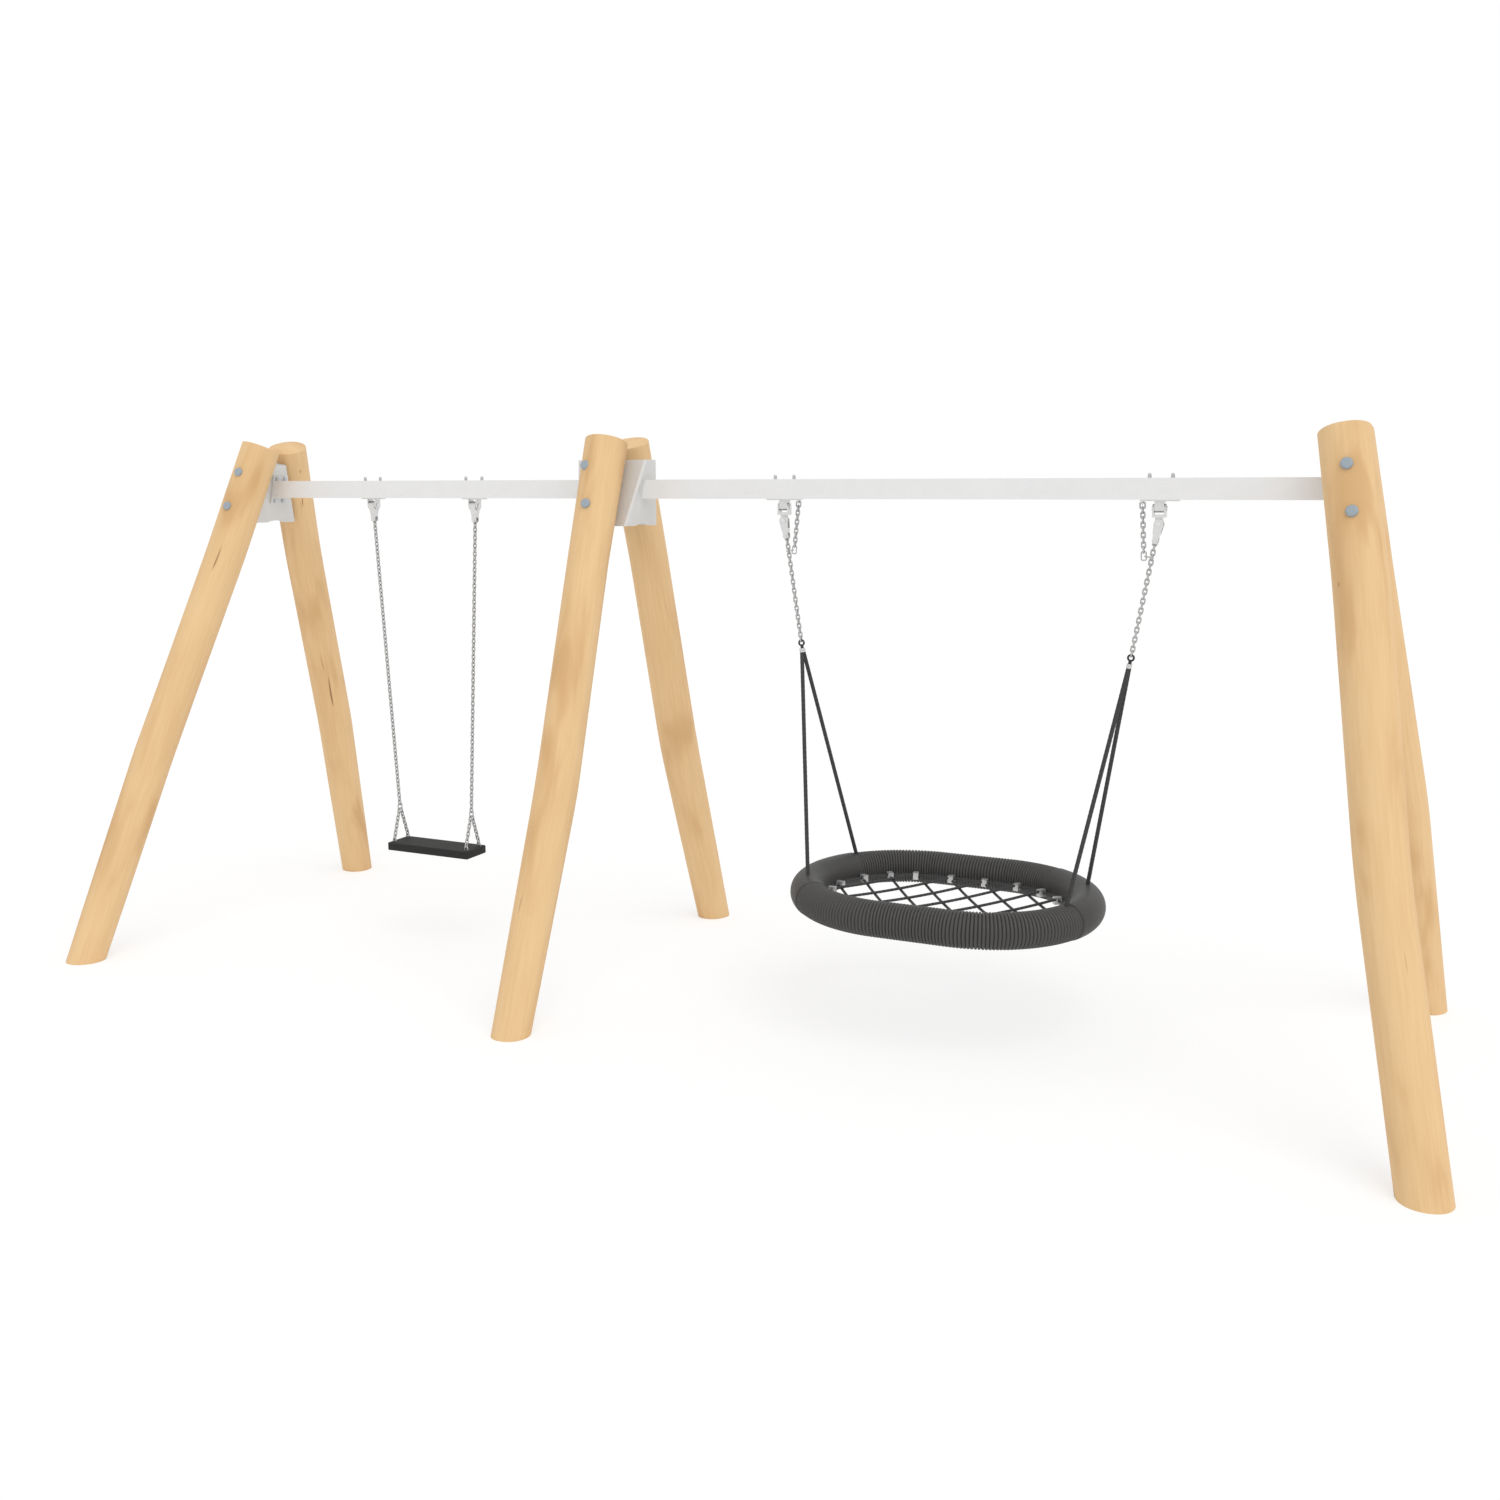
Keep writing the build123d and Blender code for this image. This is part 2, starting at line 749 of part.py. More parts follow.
def run_of_links(hook, hook_radius, along, count, first_turned):
    """Links that hang from a round bar in a straight run: the solids and the last link's lower bar."""
    link = chain_link()
    first = Vector(*hook) + along * (link_inner_length / 2 - hook_radius - link_gap)
    centres = [first + along * (link_pitch * i) for i in range(count)]
    solids = [link.moved(link_place(c, along, (i % 2 == 0) == first_turned)) for i, c in enumerate(centres)]
    return solids, centres[-1] + along * link_reach


# ---- seat swing -------------------------------------------------------------------------------------------


def bridle_length():
    """From the split link's lower bar to a seat eye's bar."""
    return 2 * link_seat + link_pitch * (bridle_links - 1)


def make_seat_chains():
    """Both main chains with their split links, the bridle chains and the seat eyes' places."""
    chains = []
    splits = []
    bridles = []
    eyes = []
    pin_z = seat_pivot_z - yoke_length - clevis_drop
    run = link_inner_length / 2 - clevis_pin_radius - link_gap + link_pitch * (seat_chain_links - 1) + link_reach
    swing_in = asin((seat_hanger_half - seat_attach_half) / run)
    spread = asin((seat_eye_y - bridle_side) / bridle_length())
    split = wire_loop(*split_inner, wire, split_corner)
    down = Vector(0, 0, -1)
    for sign in (-1, 1):
        hook = (seat_bay_x + sign * seat_hanger_half, 0, pin_z)
        along = Vector(-sign * sin(swing_in), 0, -cos(swing_in))
        links, low = run_of_links(hook, clevis_pin_radius, along, seat_chain_links, False)
        chains.append(links)
        centre = low + down * (split_inner[1] / 2 - wire / 2 - link_gap)
        splits.append(split.moved(Location(centre, (0, 0, 90))))
        bar = centre + down * (split_inner[1] / 2 + wire / 2 - bridle_slack)
        for side in (-1, 1):
            start = bar + Vector(0, side * bridle_side, 0)
            slant = Vector(0, side * sin(spread), -cos(spread))
            links, low = run_of_links(start, wire / 2, slant, bridle_links, False)
            bridles += links
            eyes.append(low - slant * (wire + link_gap))
    return chains, splits, bridles, eyes


def make_seat_eye(bar):
    """U-shaped eye whose legs stand on the insert."""
    radius = (seat_eye_inner + wire) / 2
    foot = bar.Z - seat_eye_rise - insert_depth
    with BuildPart() as eye:
        with BuildLine(Plane.XZ.offset(-bar.Y)) as path:
            Line((bar.X - radius, foot), (bar.X - radius, bar.Z - radius))
            CenterArc((bar.X, bar.Z - radius), radius, 180, -180)
            Line((bar.X + radius, bar.Z - radius), (bar.X + radius, foot))
        with BuildSketch(Plane(origin=path.line @ 0, z_dir=path.line % 0)):
            Circle(wire / 2)
        sweep()
    return eye.part


def make_seat(eyes):
    """Rubber slab with a pocket for its metal insert and holes for the eyes' legs."""
    length, width, thickness = seat_size
    top = eyes[0].Z - seat_eye_rise
    radius = (seat_eye_inner + wire) / 2
    with BuildPart() as insert:
        with BuildSketch(Plane.XY.offset(top - insert_depth)):
            with Locations((seat_bay_x, 0)):
                Rectangle(insert_size[0], insert_size[1])
        extrude(amount=-insert_size[2])
    with BuildPart() as rubber:
        with BuildSketch(Plane.XY.offset(top)):
            with Locations((seat_bay_x, 0)):
                Rectangle(length, width)
        extrude(amount=-thickness)
        fillet(rubber.edges().filter_by(Axis.Z), seat_round)
        fillet(rubber.faces().sort_by(Axis.Z)[-1].edges(), seat_round / 2)
        fillet(rubber.faces().sort_by(Axis.Z)[0].edges(), seat_round / 4)
        add(insert.part, mode=Mode.SUBTRACT)
        with BuildSketch(Plane.XY.offset(top)):
            for bar in eyes:
                with Locations((bar.X - radius, bar.Y), (bar.X + radius, bar.Y)):
                    Circle(wire / 2 + link_gap)
        extrude(amount=-insert_depth, mode=Mode.SUBTRACT)
    return rubber.part, insert.part


# ---- nest hangers -----------------------------------------------------------------------------------------

nest_pivot_z = beam_bottom - nest_plate[2] - nest_pivot_drop
sway_z = nest_pivot_z - sway_drop
clevis_pin_drop = fork_length + clevis_drop
first_link_drop = clevis_pin_drop + link_inner_length / 2 - clevis_pin_radius - link_gap
held_link_drop = first_link_drop + link_pitch * (connector_link - 1)


def arm_plane(side):
    """Plane on a sway pin whose z axis points up along the chain below it."""
    return Plane(Location((nest_x + side * nest_hanger_half, 0, sway_z), (0, side * nest_arm_lean, 0)))


def safety_layout(side):
    """Swing-axis point and unit direction of a safety chain, from the place where its quick link is held."""
    pivot = Vector(nest_x + side * (nest_hanger_half - safety_x), 0, nest_pivot_z)
    held = arm_plane(side).from_local_coords((-side * connector_reach, 0, -held_link_drop))
    out = side * (held.X - pivot.X)
    drop = pivot.Z - held.Z
    side_bar = (quick_inner[0] + quick_wire) / 2
    angle = atan2(out, drop) - asin(side_bar / hypot(out, drop))
    leg_y = (link_inner_width + wire) / 2
    return pivot, Vector(side * tan(angle), -leg_y / drop, -1).normalized(), degrees(angle)


def make_nest_hanger(side):
    """Hanger plate with the block that holds the swing pin and the tab of the safety chain."""
    x = nest_x + side * nest_hanger_half
    plate_z = beam_bottom - nest_plate[2]
    pivot, _, angle = safety_layout(side)
    hole_rise = anchor_inner[1] + wire
    tab_x = pivot.X - side * hole_rise * sin(radians(angle))
    tab_z = pivot.Z + hole_rise * cos(radians(angle))
    with BuildPart() as hanger:
        add(hanger_base(x, nest_plate, nest_stud_half))
        with BuildSketch(Plane.YZ.offset(x)):
            with Locations((0, nest_pivot_z)):
                Circle(block_radius)
            with Locations((0, (nest_pivot_z + plate_z) / 2)):
                Rectangle(2 * block_radius, nest_pivot_drop)
            with Locations((0, nest_pivot_z)):
                Circle(pin_radius + pin_gap, mode=Mode.SUBTRACT)
        extrude(amount=block_half, both=True)
        with BuildSketch(Plane.YZ.offset(tab_x)):
            with Locations((0, tab_z)):
                Circle(2 * safety_hole_radius)
            with Locations((0, (tab_z + plate_z) / 2)):
                Rectangle(2 * safety_tab_half, plate_z - tab_z)
            with Locations((0, tab_z)):
                Circle(safety_hole_radius, mode=Mode.SUBTRACT)
        extrude(amount=safety_tab / 2, both=True)
    return hanger.part


def make_nest_yoke(side):
    """Yoke on the swing pin with a tongue below for the sway pin."""
    x = nest_x + side * nest_hanger_half
    inner = block_half + side_gap
    with BuildPart() as yoke:
        with BuildSketch(Plane.YZ.offset(x)):
            with Locations((0, nest_pivot_z)):
                Circle(cheek_radius)
            with Locations((0, nest_pivot_z - (web_top + web_thickness) / 2)):
                Rectangle(2 * cheek_radius, web_top + web_thickness)
        extrude(amount=inner + cheek, both=True)
        with BuildSketch(Plane.XZ):
            with Locations((x, nest_pivot_z + (cheek_radius - web_top) / 2)):
                Rectangle(2 * inner, cheek_radius + web_top)
        extrude(amount=cheek_radius, both=True, mode=Mode.SUBTRACT)
        with BuildSketch(Plane.XZ):
            with Locations((x, sway_z)):
                Circle(tongue_radius)
            with Locations((x, (sway_z + nest_pivot_z - web_top - web_thickness) / 2)):
                Rectangle(2 * tongue_radius, sway_drop - web_top - web_thickness)
        extrude(amount=tongue_half, both=True)
        with BuildSketch(Plane.YZ.offset(x)):
            with Locations((0, nest_pivot_z)):
                Circle(pin_radius + pin_gap)
        extrude(amount=2 * inner, both=True, mode=Mode.SUBTRACT)
        with BuildSketch(Plane.XZ):
            with Locations((x, sway_z)):
                Circle(pin_radius + pin_gap)
        extrude(amount=2 * tongue_half, both=True, mode=Mode.SUBTRACT)
    return yoke.part


def make_fork(side):
    """Fork on the sway pin that tapers to the clevis."""
    outer = tongue_half + side_gap + fork_cheek
    slot = fork_length - fork_crown
    with BuildPart() as fork:
        with BuildSketch(Plane.XZ):
            add(taper_face(fork_radius, fork_foot_half, fork_length, 0))
        extrude(amount=outer, both=True)
        with BuildSketch(Plane.YZ):
            with Locations((0, (fork_radius - slot) / 2)):
                Rectangle(2 * (tongue_half + side_gap), fork_radius + slot)
        extrude(amount=2 * fork_radius, both=True, mode=Mode.SUBTRACT)
        with BuildSketch(Plane.XZ):
            Circle(pin_radius + pin_gap)
        extrude(amount=2 * outer, both=True, mode=Mode.SUBTRACT)
    return fork.part.moved(arm_plane(side).location)


def make_nest_chain(side):
    """Main chain of one side of the nest: its links and the last one's lower bar."""
    arm = arm_plane(side)
    hook = arm.from_local_coords((0, 0, -clevis_pin_drop))
    return run_of_links(hook, clevis_pin_radius, -arm.z_dir, nest_chain_links, False)


def make_safety(side):
    """One safety chain: its fixed anchor link and the links below it with the quick link."""
    pivot, along, angle = safety_layout(side)
    fixed = Vector(side * sin(radians(angle)), 0, -cos(radians(angle)))
    anchor = wire_loop(*anchor_inner, wire, split_corner)
    anchor_centre = pivot - fixed * ((anchor_inner[1] + wire) / 2)
    links, low = run_of_links(pivot, wire / 2, along, safety_links, True)
    quick_bar = low - along * ((wire + quick_wire) / 2 + link_gap)
    quick = wire_loop(*quick_inner, quick_wire, quick_corner)
    quick_centre = quick_bar + along * ((quick_inner[1] + quick_wire) / 2)
    links.append(quick.moved(link_place(quick_centre, along, False)))
    return anchor.moved(link_place(anchor_centre, fixed, False)), links


def make_connector(side):
    """Long thin link that joins the quick link to the main chain."""
    far = wire / 2 + link_gap
    near = connector_reach + quick_wire / 2 + connector_gap
    centre = (-side * (near - far) / 2, -(link_inner_width + wire) / 2, -held_link_drop)
    corner = (connector_inner_width + connector_wire) / 2
    link = wire_loop(connector_inner_width, near + far, connector_wire, corner)
    arm = arm_plane(side)
    place = Plane(origin=arm.from_local_coords(centre), x_dir=(0, 1, 0), z_dir=arm.x_dir)
    return link.moved(place.location)


# ---- rope eyes and ropes ----------------------------------------------------------------------------------


def eye_plane(side):
    """Plane on the centre of a rope eye, its z axis up along the arm."""
    _, low = make_nest_chain(side)
    arm = arm_plane(side)
    return Plane(
        origin=low - arm.z_dir * (eye_hole_radius - wire / 2 - link_gap), x_dir=arm.x_dir, z_dir=arm.z_dir
    )


def make_rope_eye(place):
    """Ring on a short stem."""
    bend = eye_hole_radius + eye_wire / 2
    with BuildPart() as eye:
        with Locations(Location((0, 0, 0), (90, 0, 0))):
            Torus(bend, eye_wire / 2)
        with BuildSketch(Plane.XY.offset(-ferrule_drop)):
            Circle(eye_stem_radius)
        extrude(amount=ferrule_drop - bend)
    return eye.part.moved(place.location)


def make_ferrule(place):
    """Oval sleeve pressed where two ropes leave the eye."""
    width, length, height = ferrule_size
    with BuildPart() as ferrule:
        with BuildSketch(Plane.XY.offset(-ferrule_drop)):
            SlotOverall(length, width, rotation=90)
        extrude(amount=-height)
        fillet(ferrule.edges().group_by(Axis.Z)[0] + ferrule.edges().group_by(Axis.Z)[-1], ferrule_round)
    return ferrule.part.moved(place.location)


def rope_line(place, side, end):
    """Start and attachment point of a rope: end is -1 at the front and 1 at the rear."""
    start = place.from_local_coords((0, end * rope_side, -ferrule_drop - ferrule_size[2]))
    angle = radians(attach_angles[side][0 if end < 0 else 1])
    across = side * (ring_straight_half + ring_bend * cos(angle))
    return start, Vector(ring_x + across, end * ring_bend * sin(angle), ring_z)


def make_rope(place, side, end):
    """Straight rope from the ferrule to the ring's core, cut flat under the ferrule."""
    start, attach = rope_line(place, side, end)
    along = (attach - start).normalized()
    bar = rod(start - along * rope_radius, attach - along * (core_radius + rope_end_gap), rope_radius)
    with BuildPart() as rope:
        add(bar)
        split(bisect_by=place.offset(-ferrule_drop - ferrule_size[2]), keep=Keep.BOTTOM)
    return rope.part


# ---- nest ring --------------------------------------------------------------------------------------------

ring_x = nest_x + ring_shift


def ring_sweep(bend, z, radius, bore):
    """Round bar or tube along the whole oval at a bend radius and a height."""
    with BuildPart() as ring:
        with BuildLine(Plane.XY.offset(z)) as path:
            Line((ring_x - ring_straight_half, -bend), (ring_x + ring_straight_half, -bend))
            CenterArc((ring_x + ring_straight_half, 0), bend, -90, 180)
            Line((ring_x + ring_straight_half, bend), (ring_x - ring_straight_half, bend))
            CenterArc((ring_x - ring_straight_half, 0), bend, 90, 180)
        with BuildSketch(Plane(origin=path.line @ 0, z_dir=path.line % 0)):
            Circle(radius)
            if bore:
                Circle(bore, mode=Mode.SUBTRACT)
        sweep()
    return ring.part


def make_cover(first, last, radius):
    """Soft cover along the oval between two angles, measured round the end arcs from the right."""
    with BuildPart() as cover:
        with BuildLine(Plane.XY.offset(ring_z)) as path:
            if last <= 90 or first >= 90 and last <= 270:
                side = 1 if last <= 90 else -1
                CenterArc((ring_x + side * ring_straight_half, 0), ring_bend, first, last - first)
            else:
                middle = 90 if first < 90 else 270
                side = 1 if first < 90 else -1
                y = side * ring_bend
                CenterArc((ring_x + side * ring_straight_half, 0), ring_bend, first, middle - first)
                Line((ring_x + side * ring_straight_half, y), (ring_x - side * ring_straight_half, y))
                CenterArc((ring_x - side * ring_straight_half, 0), ring_bend, middle, last - middle)
        with BuildSketch(Plane(origin=path.line @ 0, z_dir=path.line % 0)):
            Circle(radius)
            Circle(core_radius + rope_gap, mode=Mode.SUBTRACT)
        sweep()
        add(cover_bores(), mode=Mode.SUBTRACT)
    return cover.part


def cover_bores():
    """Solids of the holes that ropes and clamp studs need through the covers."""
    bores = [stud_rod(point, clamp_stud_radius + rope_gap, 0) for point in clamp_points()]
    for side in (-1, 1):
        for end in (-1, 1):
            start, attach = rope_line(eye_plane(side), side, end)
            bores.append(rod(attach, attach + (start - attach) * 0.3, rope_radius + rope_gap))
    return bores


# ---- net --------------------------------------------------------------------------------------------------

net_z = ring_z - net_drop
border_bend = ring_bend - border_inset


def reach_to_oval(x, direction, bend):
    """Distance from (x, 0) along a direction to an oval of this bend radius."""
    distance = bend / abs(direction.Y)
    across = x + direction.X * distance
    if abs(across) <= ring_straight_half:
        return distance
    offset = x - copysign(ring_straight_half, across)
    ahead = offset * direction.X
    return sqrt(ahead**2 - offset**2 + bend**2) - ahead


def net_lines():
    """Every net rope: its middle on the long axis, its direction and its layer."""
    run = Vector(net_spacing * 1.5, border_bend, 0).normalized()
    lines = []
    for row in range(net_rows):
        x = (row - (net_rows - 1) / 2) * net_spacing
        for turn in (-1, 1):
            lines.append((x, Vector(turn * run.X, run.Y, 0), turn))
    return lines


def make_net_rope(x, direction, layer, radius, gap):
    """One straight net rope that stops short of the border rope."""
    middle = Vector(ring_x + x, 0, net_z + layer * net_layer)
    ahead = reach_to_oval(x, direction, border_bend - gap)
    back = reach_to_oval(x, -direction, border_bend - gap)
    return rod(middle - direction * back, middle + direction * ahead, radius)


def clamp_points():
    """Places on the border rope where net ropes end, each with the border's outward direction."""
    points = []
    for x, direction, _ in net_lines():
        for way in (direction, -direction):
            point = Vector(x, 0, 0) + way * reach_to_oval(x, way, border_bend)
            if all((point - other).length > clamp_size[1] for other in points):
                points.append(point)
    return points


def clamp_plane(point):
    """Plane on the border rope whose x axis points outwards."""
    centre = Vector(max(-ring_straight_half, min(ring_straight_half, point.X)), 0, 0)
    out = (point - centre).normalized()
    return Plane(origin=(ring_x + point.X, point.Y, net_z), x_dir=out, z_dir=(0, 0, 1))


def stud_rod(point, radius, core_gap):
    """Round bar from a clamp towards the middle of the ring's core."""
    place = clamp_plane(point)
    core = place.from_local_coords((border_inset, 0, net_drop))
    start = place.from_local_coords((clamp_size[0] / 4, 0, net_drop * clamp_size[0] / 4 / border_inset))
    return rod(start, core - (core - start).normalized() * core_gap, radius)


def make_clamps():
    """Clamps that grip the border rope and the ends of the net ropes."""
    clamps = []
    ropes = [make_net_rope(*line, net_radius + rope_gap, 0) for line in net_lines()]
    tunnel = ring_sweep(border_bend, net_z, net_radius + rope_gap, 0)
    for point in clamp_points():
        near = [rope for rope in ropes if rope.distance_to(clamp_plane(point).origin) < clamp_size[1]]
        with BuildPart() as clamp:
            with BuildSketch(clamp_plane(point).offset(-clamp_size[2] / 2)):
                with Locations((clamp_shift, 0)):
                    RectangleRounded(clamp_size[0], clamp_size[1], clamp_corner)
            extrude(amount=clamp_size[2])
            add(stud_rod(point, clamp_stud_radius, core_radius + link_gap))
            add(tunnel, mode=Mode.SUBTRACT)
            add(near, mode=Mode.SUBTRACT)
        clamps.append(clamp.part)
    return clamps


# ---- all pieces -------------------------------------------------------------------------------------------


def write_frame():
    """Posts, brackets, their fasteners and the beams."""
    for post in posts:
        write(make_post(post), f"post_{post.frame.name}_{post.place}")
    write(make_channel_bracket(frames[0], 1), "bracket_left")
    write(make_box_bracket(frames[1]), "bracket_middle")
    write(make_channel_bracket(frames[2], -1), "bracket_right")
    bolts, nuts, caps = make_post_bolts()
    write(group(bolts), "post_bolts")
    write(group(nuts), "post_bolt_nuts")
    write(group(caps), "post_bolt_caps")
    write(make_beam("left"), "beam_left")
    write(make_beam("right"), "beam_right")
    flanges, plates, beam_fasteners = make_beam_ends()
    write(group(flanges), "beam_flanges")
    write(group(plates), "beam_end_plates")
    write(group(beam_fasteners), "beam_bolts")
    nuts = []
    for bay, half in (("left", seat_stud_half), ("right", nest_stud_half)):
        for x in hanger_places(bay):
            nuts += [make_cap_nut(x - half), make_cap_nut(x + half)]
    write(group(nuts), "hanger_cap_nuts")


def write_seat_swing():
    """Everything of the single swing below the left beam."""
    places = hanger_places("left")
    pin_half = yoke_half_width + side_gap + seat_lug + washer_gap
    foot = seat_pivot_z - yoke_length
    pins = [headed_pin((x, 0, seat_pivot_z), (1, 0, 0), pin_half, pin_radius) for x in places]
    clevises = [make_clevis(Plane(origin=(x, 0, foot))) for x in places]
    chains, splits, bridles, eyes = make_seat_chains()
    rubber, insert = make_seat(eyes)
    for x, chain, name in zip(places, chains, ("left", "right")):
        write(make_seat_hanger(x), f"seat_hanger_{name}")
        write(group(chain), f"seat_chain_{name}")
    write(group(pins), "seat_pivot_pins")
    write(group([make_seat_yoke(x) for x in places]), "seat_yokes")
    write(group([make_bush(x) for x in places]), "seat_bushes")
    write(group([clevis for clevis, _ in clevises]), "seat_clevises")
    write(group([pin for _, pin in clevises]), "seat_clevis_pins")
    write(group(splits), "seat_split_links")
    write(group(bridles), "seat_bridle_chains")
    write(group([make_seat_eye(bar) for bar in eyes]), "seat_eyes")
    write(rubber, "seat_rubber")
    write(insert, "seat_insert")


def write_nest_hangers():
    """Hangers, cardan yokes, chains and safety chains of the nest swing."""
    swing_pins = []
    sway_pins = []
    anchors = []
    swing_half = block_half + side_gap + cheek + washer_gap
    sway_half = tongue_half + side_gap + fork_cheek + washer_gap
    for side, name in ((-1, "left"), (1, "right")):
        x = nest_x + side * nest_hanger_half
        swing_pins.append(headed_pin((x, 0, nest_pivot_z), (1, 0, 0), swing_half, pin_radius))
        sway_pins.append(headed_pin((x, 0, sway_z), (0, 1, 0), sway_half, pin_radius))
        arm = arm_plane(side)
        anchor, safety = make_safety(side)
        anchors.append(anchor)
        write(make_nest_hanger(side), f"nest_hanger_{name}")
        write(make_nest_yoke(side), f"nest_yoke_{name}")
        write(make_fork(side), f"nest_fork_{name}")
        write(group(make_clevis(arm.offset(-fork_length))), f"nest_clevis_{name}")
        write(group(make_nest_chain(side)[0]), f"nest_chain_{name}")
        write(group(safety), f"safety_chain_{name}")
        write(make_connector(side), f"safety_connector_{name}")
    write(group(swing_pins), "nest_swing_pins")
    write(group(sway_pins), "nest_sway_pins")
    write(group(anchors), "safety_anchor_links")


def write_nest():
    """Ropes, ring, covers and net of the nest."""
    places = [(side, eye_plane(side)) for side in (-1, 1)]
    write(group([make_rope_eye(place) for _, place in places]), "rope_eyes")
    write(group([make_ferrule(place) for _, place in places]), "rope_ferrules")
    write(group([make_rope(place, side, end) for side, place in places for end in (-1, 1)]), "nest_ropes")
    right_front, right_rear = sleeve_angles
    left_front, left_rear = 180 - left_sleeve_angles[0], 180 - left_sleeve_angles[1]
    write(ring_sweep(ring_bend, ring_z, core_radius, core_radius - core_wall), "ring_core")
    write(make_cover(right_rear, left_rear, cover_radius), "ring_cover_rear")
    write(make_cover(left_front, 360 + right_front, cover_radius), "ring_cover_front")
    write(make_cover(right_front, right_rear, sleeve_radius), "ring_sleeve_right")
    write(make_cover(left_rear, left_front, sleeve_radius), "ring_sleeve_left")
    write(ring_sweep(border_bend, net_z, net_radius, 0), "net_border")
    write(group([make_net_rope(*line, net_radius, net_end_gap) for line in net_lines()]), "net_ropes")
    write(group(make_clamps()), "net_clamps")


os.makedirs("parts", exist_ok=True)
write_frame()
write_seat_swing()
write_nest_hangers()
write_nest()
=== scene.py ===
"""Looks of a playground swing set: log frames, metalwork, a rubber seat and a nest seat.

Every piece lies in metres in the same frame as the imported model: +X along the beams, +Y to the
rear, +Z up, with the origin on the ground under the middle of the set.
"""

from __future__ import annotations

import json
import logging
import math
from dataclasses import dataclass
from enum import Enum

import bpy
import numpy as np
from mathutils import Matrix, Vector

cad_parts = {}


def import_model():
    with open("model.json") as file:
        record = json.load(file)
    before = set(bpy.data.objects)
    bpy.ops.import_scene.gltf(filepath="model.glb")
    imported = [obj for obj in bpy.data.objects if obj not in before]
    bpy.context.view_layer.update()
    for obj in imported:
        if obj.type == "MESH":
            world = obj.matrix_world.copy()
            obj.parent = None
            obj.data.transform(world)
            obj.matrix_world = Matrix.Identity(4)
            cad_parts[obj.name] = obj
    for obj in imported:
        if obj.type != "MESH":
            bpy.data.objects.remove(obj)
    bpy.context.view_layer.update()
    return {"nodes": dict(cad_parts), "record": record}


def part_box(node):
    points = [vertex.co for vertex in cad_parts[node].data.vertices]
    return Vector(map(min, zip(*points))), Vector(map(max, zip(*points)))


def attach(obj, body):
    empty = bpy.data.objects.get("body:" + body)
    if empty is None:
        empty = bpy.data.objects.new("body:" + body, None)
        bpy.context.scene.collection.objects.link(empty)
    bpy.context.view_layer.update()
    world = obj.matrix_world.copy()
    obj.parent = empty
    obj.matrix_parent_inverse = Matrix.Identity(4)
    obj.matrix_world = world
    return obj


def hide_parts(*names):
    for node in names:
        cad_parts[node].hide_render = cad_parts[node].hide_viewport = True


LOG = logging.getLogger("swing_set")
FULL_TURN = 2.0 * math.pi


class Body(Enum):
    """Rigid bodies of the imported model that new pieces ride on."""

    FRAME = "frame"
    SEAT = "seat"
    BASKET = "basket"


# ---- meshes -------------------------------------------------------------------------------------


def lattice_faces(rows: int, columns: int, closed_rows: bool) -> np.ndarray:
    """Quads of a grid whose columns close on themselves.

    Args:
        rows: Number of rows of points.
        columns: Number of points in each row, the last joined to the first.
        closed_rows: Whether the last row joins the first as well.

    Returns:
        Vertex indices, four to a face, turning outwards for a grid that runs counter-clockwise
        round its path.
    """
    last = rows if closed_rows else rows - 1
    row = np.arange(last)[:, None]
    column = np.arange(columns)[None, :]
    ahead = (column + 1) % columns
    above = (row + 1) % rows
    here, over = row * columns, above * columns
    quads = (here + column, here + ahead, over + ahead, over + column)
    return np.stack([np.broadcast_to(q, (last, columns)) for q in quads], axis=-1).reshape(-1, 4)


def fan_faces(first: int, columns: int, centre: int, forward: bool) -> np.ndarray:
    """Triangles that close one end row of a grid.

    Args:
        first: Index of the row's first point.
        columns: Number of points in the row.
        centre: Index of the point at the middle of the end.
        forward: Whether the end looks along the grid's rows.

    Returns:
        Vertex indices, three to a face.
    """
    here = first + np.arange(columns)
    there = first + (np.arange(columns) + 1) % columns
    middle = np.full(columns, centre)
    order = (here, there, middle) if forward else (there, here, middle)
    return np.stack(order, axis=-1)


@dataclass
class Skin:
    """A closed surface as arrays, ready to become a mesh."""

    grid: np.ndarray
    flow: np.ndarray
    closed: bool = False

    def arrays(self) -> tuple[np.ndarray, np.ndarray, list[np.ndarray]]:
        """Work out the whole surface, with flat ends where the skin is open.

        Returns:
            Points, pattern coordinates and groups of faces.
        """
        rows, columns = self.grid.shape[:2]
        points = self.grid.reshape(-1, 3)
        flow = self.flow.reshape(-1, 3)
        faces = [lattice_faces(rows, columns, self.closed)]
        if not self.closed:
            ends = np.stack([self.grid[0].mean(axis=0), self.grid[-1].mean(axis=0)])
            points = np.concatenate([points, ends])
            flow_ends = np.stack([self.flow[0].mean(axis=0), self.flow[-1].mean(axis=0)])
            flow = np.concatenate([flow, flow_ends])
            count = rows * columns
            faces.append(fan_faces(0, columns, count, False))
            faces.append(fan_faces(count - columns, columns, count + 1, True))
        return points, flow, faces


